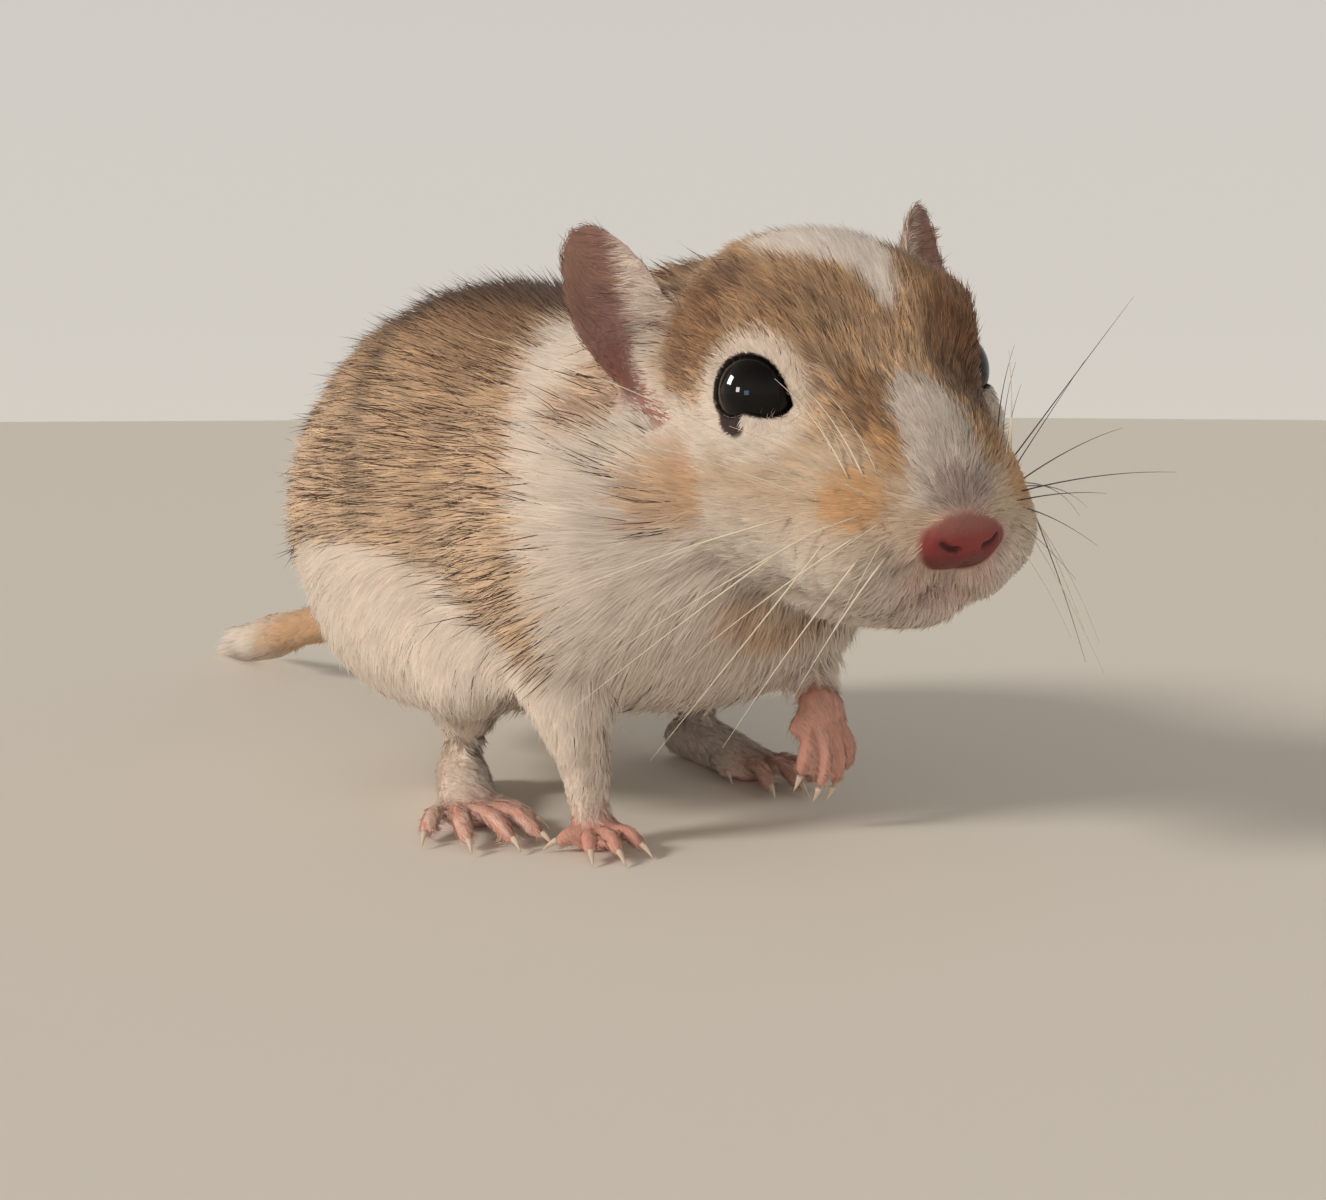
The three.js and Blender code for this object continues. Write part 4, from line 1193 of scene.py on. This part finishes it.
# Ticks are dark on the body and softer, browner on the head
on_face = on_head * 0.7 * fade(root_head[:, 1], 3, 9)
tick_tone = mix(DARK * 0.8 + UMBER * 0.16, UMBER * 0.7, on_face, EAR_MAUVE * 0.4, on_ear)
blade_tones[is_tick, 1] = tick_tone[is_tick] * 1.2
blade_tones[is_tick, 2] = tick_tone[is_tick] * 0.8
tick_rise = np.where(on_head > 0.5, 0.06, 0.2)[is_tick] * MM
nodes[is_tick] += root_normals[is_tick][:, None] * (tick_rise[:, None] * ALONG)[:, :, None]
tick_growth = (0.75 - 0.5 * on_head)[is_tick][:, None]
nodes[is_tick, 2] += (nodes[is_tick, 2] - nodes[is_tick, 1]) * tick_growth
width[is_tick] *= 0.85


def lay_out(left, right, tip):
    """The five corners of each blade: two at the root, two half way and the tip."""
    return np.stack([left[:, 0], right[:, 0], left[:, 1], right[:, 1], tip], axis=1)


def outline(nodes, up, width, roll):
    """Corners of the blades along their middle lines, each turned by its roll, and the way they face."""
    tangent = unit(np.gradient(nodes, axis=1))
    across = unit(np.cross(tangent, up[:, None]))
    face_normal = np.cross(across, tangent)
    roll = np.clip(roll, -1.1, 1.1)[:, None, None]
    across = across * np.cos(roll) + face_normal * np.sin(roll)
    half = across[:, :2] * (width[:, None] * MM * TAPER[None, :2] / 2)[:, :, None]
    return lay_out(nodes[:, :2] - half, nodes[:, :2] + half, nodes[:, 2]), unit(np.cross(across, tangent))


blade_points, own_normal = outline(nodes, root_normals, width, rng.normal(0, 0.45, total))
blade_colours = lay_out(blade_tones, blade_tones, blade_tones[:, 2])
own_normal *= np.sign((own_normal * root_normals[:, None]).sum(-1, keepdims=True))
lock_lean = rng.normal(0, 0.1, (len(guides), 3))[nearest]
mixed = unit(own_normal * 0.13 + (root_normals + lock_lean)[:, None] * 0.87)
blade_normals = lay_out(mixed, mixed, mixed[:, 2])
BLADE_FACES = np.array([[0, 1, 2], [1, 3, 2], [2, 3, 4]])
PATCH = 0.003
BLADE_UV = np.array([[-0.5, 0], [0.5, 0], [-0.5, 0.5], [0.5, 0.5], [0, 1]]) * PATCH

coat_material, tree, shader = node_material(
    "gerbil_coat", Roughness=0.62, Specular_IOR_Level=0.25, Sheen_Weight=0.12, Sheen_Roughness=0.4
)
add_tone(tree, shader, 260, 0.07)


def blade_piece(
    name, chosen, corners=blade_points, tones=blade_colours, facing=blade_normals, maps=root_uv
):
    """Joins the chosen blades in one mesh, with their tones and their patches on the skin's unwrap."""
    count = len(chosen)
    mesh = bpy.data.meshes.new(name)
    mesh.vertices.add(count * 5)
    mesh.vertices.foreach_set("co", corners[chosen].ravel())
    faces = (BLADE_FACES[None] + (np.arange(count) * 5)[:, None, None]).reshape(-1, 3)
    mesh.loops.add(len(faces) * 3)
    mesh.loops.foreach_set("vertex_index", faces.ravel().astype(np.int32))
    mesh.polygons.add(len(faces))
    mesh.polygons.foreach_set("loop_start", np.arange(len(faces), dtype=np.int32) * 3)
    mesh.polygons.foreach_set("use_smooth", np.ones(len(faces), bool))
    layer = mesh.uv_layers.new(name="OFBake")
    patch = maps[chosen][:, None, None] + BLADE_UV[BLADE_FACES][None]
    layer.data.foreach_set("uv", np.clip(patch, 0, 1).ravel().astype(np.float32))
    mesh.update(calc_edges=True)
    mesh.validate()
    paint(mesh, "tone", tones[chosen].reshape(-1, 3))
    mesh.normals_split_custom_set_from_vertices(facing[chosen].reshape(-1, 3))
    piece = add_object(name, mesh)
    mesh.materials.append(coat_material)
    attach(piece, "root")
    # Fine hair lets light through, so it throws no shadow of its own on the hair beside it
    piece.visible_shadow = False
    return piece


dominant = root_weights.argmax(axis=1)
is_part = {part: dominant == i for i, part in enumerate(PARTS)}
root_body = in_body(roots)
right_side = root_body[:, 0] < 0.8
whole_head = is_part["head"] | is_part["lower_jaw"] | is_part["nose"]
fore = root_body[:, 1] < 16
trunk_part = is_part["torso"] | is_part["neck"]
limbs = is_part["foreleg"] | is_part["hind_leg"] | is_part["forepaw"] | is_part["hind_foot"]
right_of_head = root_head[:, 0] < 0
front_of_head = root_head[:, 1] < 2
regions = {
    "coat_face_right": (whole_head & right_of_head & front_of_head, "agouti"),
    "coat_face_left": (whole_head & ~right_of_head & front_of_head, "agouti"),
    "coat_nape_right": (whole_head & right_of_head & ~front_of_head, "agouti"),
    "coat_nape_left": (whole_head & ~right_of_head & ~front_of_head, "agouti"),
    "coat_ears": (is_part["ear"], "bare_skin"),
    "coat_shoulder_right": (trunk_part & fore & right_side, "white_fur"),
    "coat_shoulder_left": (trunk_part & fore & ~right_side, "white_fur"),
    "coat_rump_right": (trunk_part & ~fore & right_side, "agouti"),
    "coat_rump_left": (trunk_part & ~fore & ~right_side, "agouti"),
    "coat_legs_right": (limbs & right_side, "white_fur"),
    "coat_legs_left": (limbs & ~right_side, "white_fur"),
    "coat_tail": (is_part["tail"], "tail_fur"),
}
for name, (chosen, slot_name) in regions.items():
    blade_piece(name, np.nonzero(chosen)[0])

# ---- Tail brush ----
# The last third of the tail carries long white hair in loose locks that run out past its end.
# It grows from the tail's thin core all round, buff where it starts and white further out.

BRUSH_LOCKS, BRUSH_HAIRS = 90, max(4, int(60 * SHARE))
BRUSH_START, BRUSH_REACH = 84, 22
# The bone's line through the brush, in the animal's frame
BRUSH_CORE = np.array([(1, 76, 9.2), (1.6, 87, 6.8), (2.4, 97, 4.6), (3.2, 105, 3.3), (3.7, 110, 2.9)])
brush_count = BRUSH_LOCKS * BRUSH_HAIRS
lock_at = rng.uniform(0.0, 1.0, BRUSH_LOCKS) ** 0.8
lock_turn = rng.uniform(0, 2 * math.pi, BRUSH_LOCKS)
which = np.repeat(np.arange(BRUSH_LOCKS), BRUSH_HAIRS)
at = np.clip(lock_at[which] + rng.normal(0, 0.03, brush_count), 0, 1)
turn = lock_turn[which] + rng.normal(0, 0.22, brush_count)
y_root = BRUSH_START + at * BRUSH_REACH
centre_line = np.stack([np.interp(y_root, BRUSH_CORE[:, 1], BRUSH_CORE[:, k]) for k in range(3)], axis=1)
forward = unit(np.array([0.1, 1, -0.2]))
side_axis = unit(np.cross(forward, [0, 0, 1]))
up_axis = np.cross(side_axis, forward)
lock_length = rng.uniform(9, 12.5, BRUSH_LOCKS)[which] * rng.uniform(0.85, 1.05, brush_count)
lock_spread = rng.uniform(2.2, 3.2, BRUSH_LOCKS)[which]
radial = np.cos(turn)[:, None] * side_axis + np.sin(turn)[:, None] * up_axis
core_radius = np.interp(at, [0, 1], [1.9, 0.5])
SPREAD = np.array([0, 0.85, 0.95])
brush_nodes = (
    centre_line[:, None] + radial[:, None] * core_radius[:, None, None] * (1 - ALONG * 0.3)[None, :, None]
    + forward * (lock_length[:, None] * ALONG)[:, :, None]
    + radial[:, None] * ((lock_spread - core_radius * 0.7)[:, None] * SPREAD)[:, :, None]
)
brush_nodes[:, :, 2] = np.maximum(brush_nodes[:, :, 2], 0.12)
brush_nodes = from_body(brush_nodes.reshape(-1, 3)).reshape(brush_count, 3, 3)
brush_points, _ = outline(brush_nodes, radial, np.full(brush_count, 0.13 * WIDER), rng.normal(0, 0.6, brush_count))
brush_light = (rng.normal(1, 0.06, BRUSH_LOCKS)[which] * rng.normal(1, 0.06, brush_count))[:, None]
brush_tone = mix(TAIL_BUFF, WHITE, smooth_step(at, -0.1, 0.45)) * brush_light
brush_tones = np.stack([brush_tone * 0.8, brush_tone * 0.95, brush_tone * 1.05], axis=1)
brush_colours = lay_out(brush_tones, brush_tones, brush_tones[:, 2])
brush_normals = np.repeat(unit(radial)[:, None], 5, axis=1)
EVERY = 4
skin_tree = search_tree(points[triangles[::EVERY, 0]])
brush_uv = np.array([unwrap[corner_of[skin_tree.find(p)[1] * EVERY][0]] for p in brush_nodes[:, 0]])
brush = blade_piece(
    "tail_brush", np.arange(brush_count), brush_points, brush_colours, brush_normals, brush_uv
)
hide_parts("tail_tip")

# ---- Claws ----
# A slender claw of pale, half clear horn at the end of each finger and toe. It comes out of the end of the digit
# and curves down, on the hands in front and on the long hind feet just over the floor.

claw_objects = []
for knuckle, tip in DIGITS:
    knuckle, tip = np.array(knuckle, float), np.array(tip, float)
    ahead = unit(tip - knuckle)
    low = tip[2] < 1
    start = tip + [0, 0, 0.55 if low else 0]
    ahead[2] = max(ahead[2], -0.25) if low else ahead[2]
    steps = np.linspace(0, 1, 7)
    drop = np.array([0, 0, -0.75]) if low else np.array([0, 0.6, -0.3])
    path = start + unit(ahead) * (steps * 1.35 - 0.25)[:, None] + drop * (steps**2)[:, None] * 0.7
    path[:, 2] = np.maximum(path[:, 2], 0.16)
    radii = np.interp(steps, [0, 0.3, 1], [0.3, 0.26, 0.05]) * MM
    claw_objects.append(tube("claw", from_body(path), radii, 10))
select_only(*claw_objects)
bpy.ops.object.join()
claws = bpy.context.object
claws.name = "claws"
bpy.ops.object.shade_smooth()
claw_material = wavering_material(
    "claw_horn", 900, colour(196, 170, 150), colour(232, 214, 194), Roughness=0.3, Specular_IOR_Level=0.5
)
claws.data.materials.append(claw_material)
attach(claws, "root")

# ---- Whiskers ----
# Long stiff sensing hairs: four rows on each pad beside the nose and two small fans that stand up over the face.
# The near side's are pale. On the far side those of the upper rows are dark.

ROWS, WHISKERS_IN_ROW, MISSING, LONGEST = 4, 5, 0.28, 28
whisker_paths = []
for side in (-1, 1):
    for row in range(ROWS):
        for place in range(WHISKERS_IN_ROW):
            if rng.random() < MISSING:
                continue
            pad = np.array([side * (5.4 + 0.75 * place), -13.4 + 1.3 * place, -3.2 - 1.3 * row])
            long = 9 + 4.6 * place + rng.uniform(-2, 2)
            fall = (0.32 if row < 2 else 0.42) * row
            out = np.array([side * (0.72 + 0.1 * place), -0.4 + 0.26 * place, 0.5 - fall]) + rng.normal(0, 0.12, 3)
            whisker_paths.append((side, row, pad, unit(out), min(long, LONGEST)))
    for k in range(3):
        top = np.array([side * 5.6, -10.4 + 1.1 * k, -2.2])
        out = np.array([side * 0.5, 0.1 + 0.05 * k, 0.95]) + rng.normal(0, 0.04, 3)
        whisker_paths.append((side, 0, top, unit(out), 7 + 1.5 * k))
    for k in range(3):
        pad = np.array([side * (5.6 + 0.5 * k), -12.6 + 0.9 * k, -1.4 - 0.5 * k])
        out = np.array([side * 0.3, 0.42 - 0.02 * k, 0.85 - 0.02 * k]) + rng.normal(0, 0.02, 3)
        whisker_paths.append((side, 3, pad, unit(out), 8.5 + 1.2 * k))
whisker_objects, whisker_tones = [], []
for side, row, start, out, long in whisker_paths:
    steps = np.linspace(0, 1, 10)
    bend = np.array([0, 0.25, -0.32 - 0.06 * row])
    path = start + out * (steps * long)[:, None] + bend * (steps**2 * long * 0.5)[:, None]
    start_point = from_head(path[:1])[0]
    found = surface.find_nearest(Vector(start_point))[0]
    path = from_head(path) + (np.array(found) - start_point) * (1 - steps)[:, None] ** 2
    path[:, 2] = np.maximum(path[:, 2], 0.3 * MM)
    thick = 0.035 if long <= 9 else 0.09 if row >= 2 and side == -1 else 0.06
    radii = np.interp(steps, [0, 1], [thick, 0.012]) * MM
    whisker_objects.append(tube("whisker", path, radii, 4))
    dark = row <= 2 and side == 1
    tone = colour(70, 56, 52) if dark else colour(234, 220, 198)
    whisker_tones.append(np.tile(tone, (len(whisker_objects[-1].data.vertices), 1)))
select_only(*whisker_objects)
bpy.ops.object.join()
whiskers = bpy.context.object
whiskers.name = "whiskers"
paint(whiskers.data, "tone", np.concatenate(whisker_tones))
bpy.ops.object.shade_smooth()
whisker_material, tree, shader = node_material("whisker_hair", Roughness=0.35, Specular_IOR_Level=0.5)
add_tone(tree, shader, 400, 0.1)
whiskers.data.materials.append(whisker_material)
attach(whiskers, "root")

# ---- Studio ----
# A plain pale floor under a soft sky, a low sun from the left, a fill lamp beside the camera and three small
# lamps that glint in the eyes alone. The camera stands close to the animal.

bpy.ops.object.select_all(action="DESELECT")
bpy.ops.mesh.primitive_plane_add(size=8)
floor = bpy.context.object
floor.name = "studio_floor"
floor.data.materials.append(node_material(
    "pale_floor", Roughness=0.8, Specular_IOR_Level=0.2, Base_Color=(*colour(236, 228, 216), 1)
)[0])
floor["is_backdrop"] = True

world = bpy.data.worlds.new("studio_air")
world.use_nodes = True
air = world.node_tree
direction, heights = add_node(air, "TexCoord"), add_node(air, "SeparateXYZ")
level = add_node(air, "MapRange", From_Min=-1)
sky = add_node(air, "ValToRGB")
low_stop, high_stop = sky.color_ramp.elements
low_stop.position, low_stop.color = 0.5, (0.66, 0.62, 0.56, 1)
high_stop.position, high_stop.color = 0.95, (0.2, 0.195, 0.19, 1)
sky.color_ramp.elements.new(0.66).color = (0.62, 0.59, 0.55, 1)
background = air.nodes["Background"]
background.inputs["Strength"].default_value = 1.0
wire(
    air, direction, "Generated", heights, "Vector", heights, "Z", level, "Value",
    level, "Result", sky, "Fac", sky, "Color", background, "Color",
)
bpy.context.scene.world = world


def add_lamp(name, kind, power, tint, towards, place=(0, 0, 0), **settings):
    lamp = bpy.data.lights.new(name, kind)
    lamp.energy, lamp.color = power, tint
    for setting, value in settings.items():
        setattr(lamp, setting, value)
    item = add_object(name, lamp)
    item.location = place
    item.rotation_euler = towards.to_track_quat("-Z", "Y").to_euler()
    return item


key = add_lamp("key", "SUN", 1.7, (1.0, 0.95, 0.88), Vector((0.62, -0.1, -0.34)), angle=0.24)
fill_place = Vector((-0.35, -0.75, 0.22))
fill = add_lamp(
    "fill", "AREA", 0.6, (0.97, 0.98, 1.0), Vector((0, 0, 0.03)) - fill_place, fill_place, shape="SQUARE", size=0.12
)
key.visible_glossy = fill.visible_glossy = False

# Two small windows and a patch of sky glint in the eyes. These lamps light the eyeballs and lids alone
GLINTS = [
    ((-0.621, 0.681, 0.385), 0.12, 2.0, (1, 0.98, 0.95)), ((-0.967, 0.223, 0.127), 0.08, 0.7, (1, 0.98, 0.95)),
    ((-0.973, -0.217, -0.01), 0.1, 0.25, (0.35, 0.65, 1)),
]
GLINT_DISTANCE = 0.45
glint_receivers = bpy.data.collections.new("glint_receivers")
for item in bpy.data.objects:
    if item.name.startswith("eye"):
        glint_receivers.objects.link(item)
near_eye = from_body(EYE_RIGHT)
for k, (direction, size, power, tint) in enumerate(GLINTS):
    place = near_eye + np.array(direction) * GLINT_DISTANCE
    glint = add_lamp(
        "glint_%d" % k, "AREA", power, tint, Vector(near_eye) - Vector(place), place, shape="SQUARE", size=size
    )
    glint.visible_camera = False
    glint.light_linking.receiver_collection = glint_receivers

CAMERA_PLACE = (-84.4, -122.6, 38.0)
CAMERA_YAW, CAMERA_PITCH = 35.6, 6.9
PHOTO_WIDTH, FOCAL_PIXELS, SENSOR = 1326, 1600, 36
view = bpy.data.cameras.new("camera")
view.sensor_width = SENSOR
view.lens = FOCAL_PIXELS / PHOTO_WIDTH * SENSOR
view.clip_start = 0.005
camera = add_object("camera", view)
camera.location = from_body(CAMERA_PLACE)
camera.rotation_euler = (math.radians(90 - CAMERA_PITCH), 0, math.radians(-CAMERA_YAW))
bpy.context.scene.camera = camera
bpy.context.scene.view_settings.view_transform = "Standard"

low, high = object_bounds()
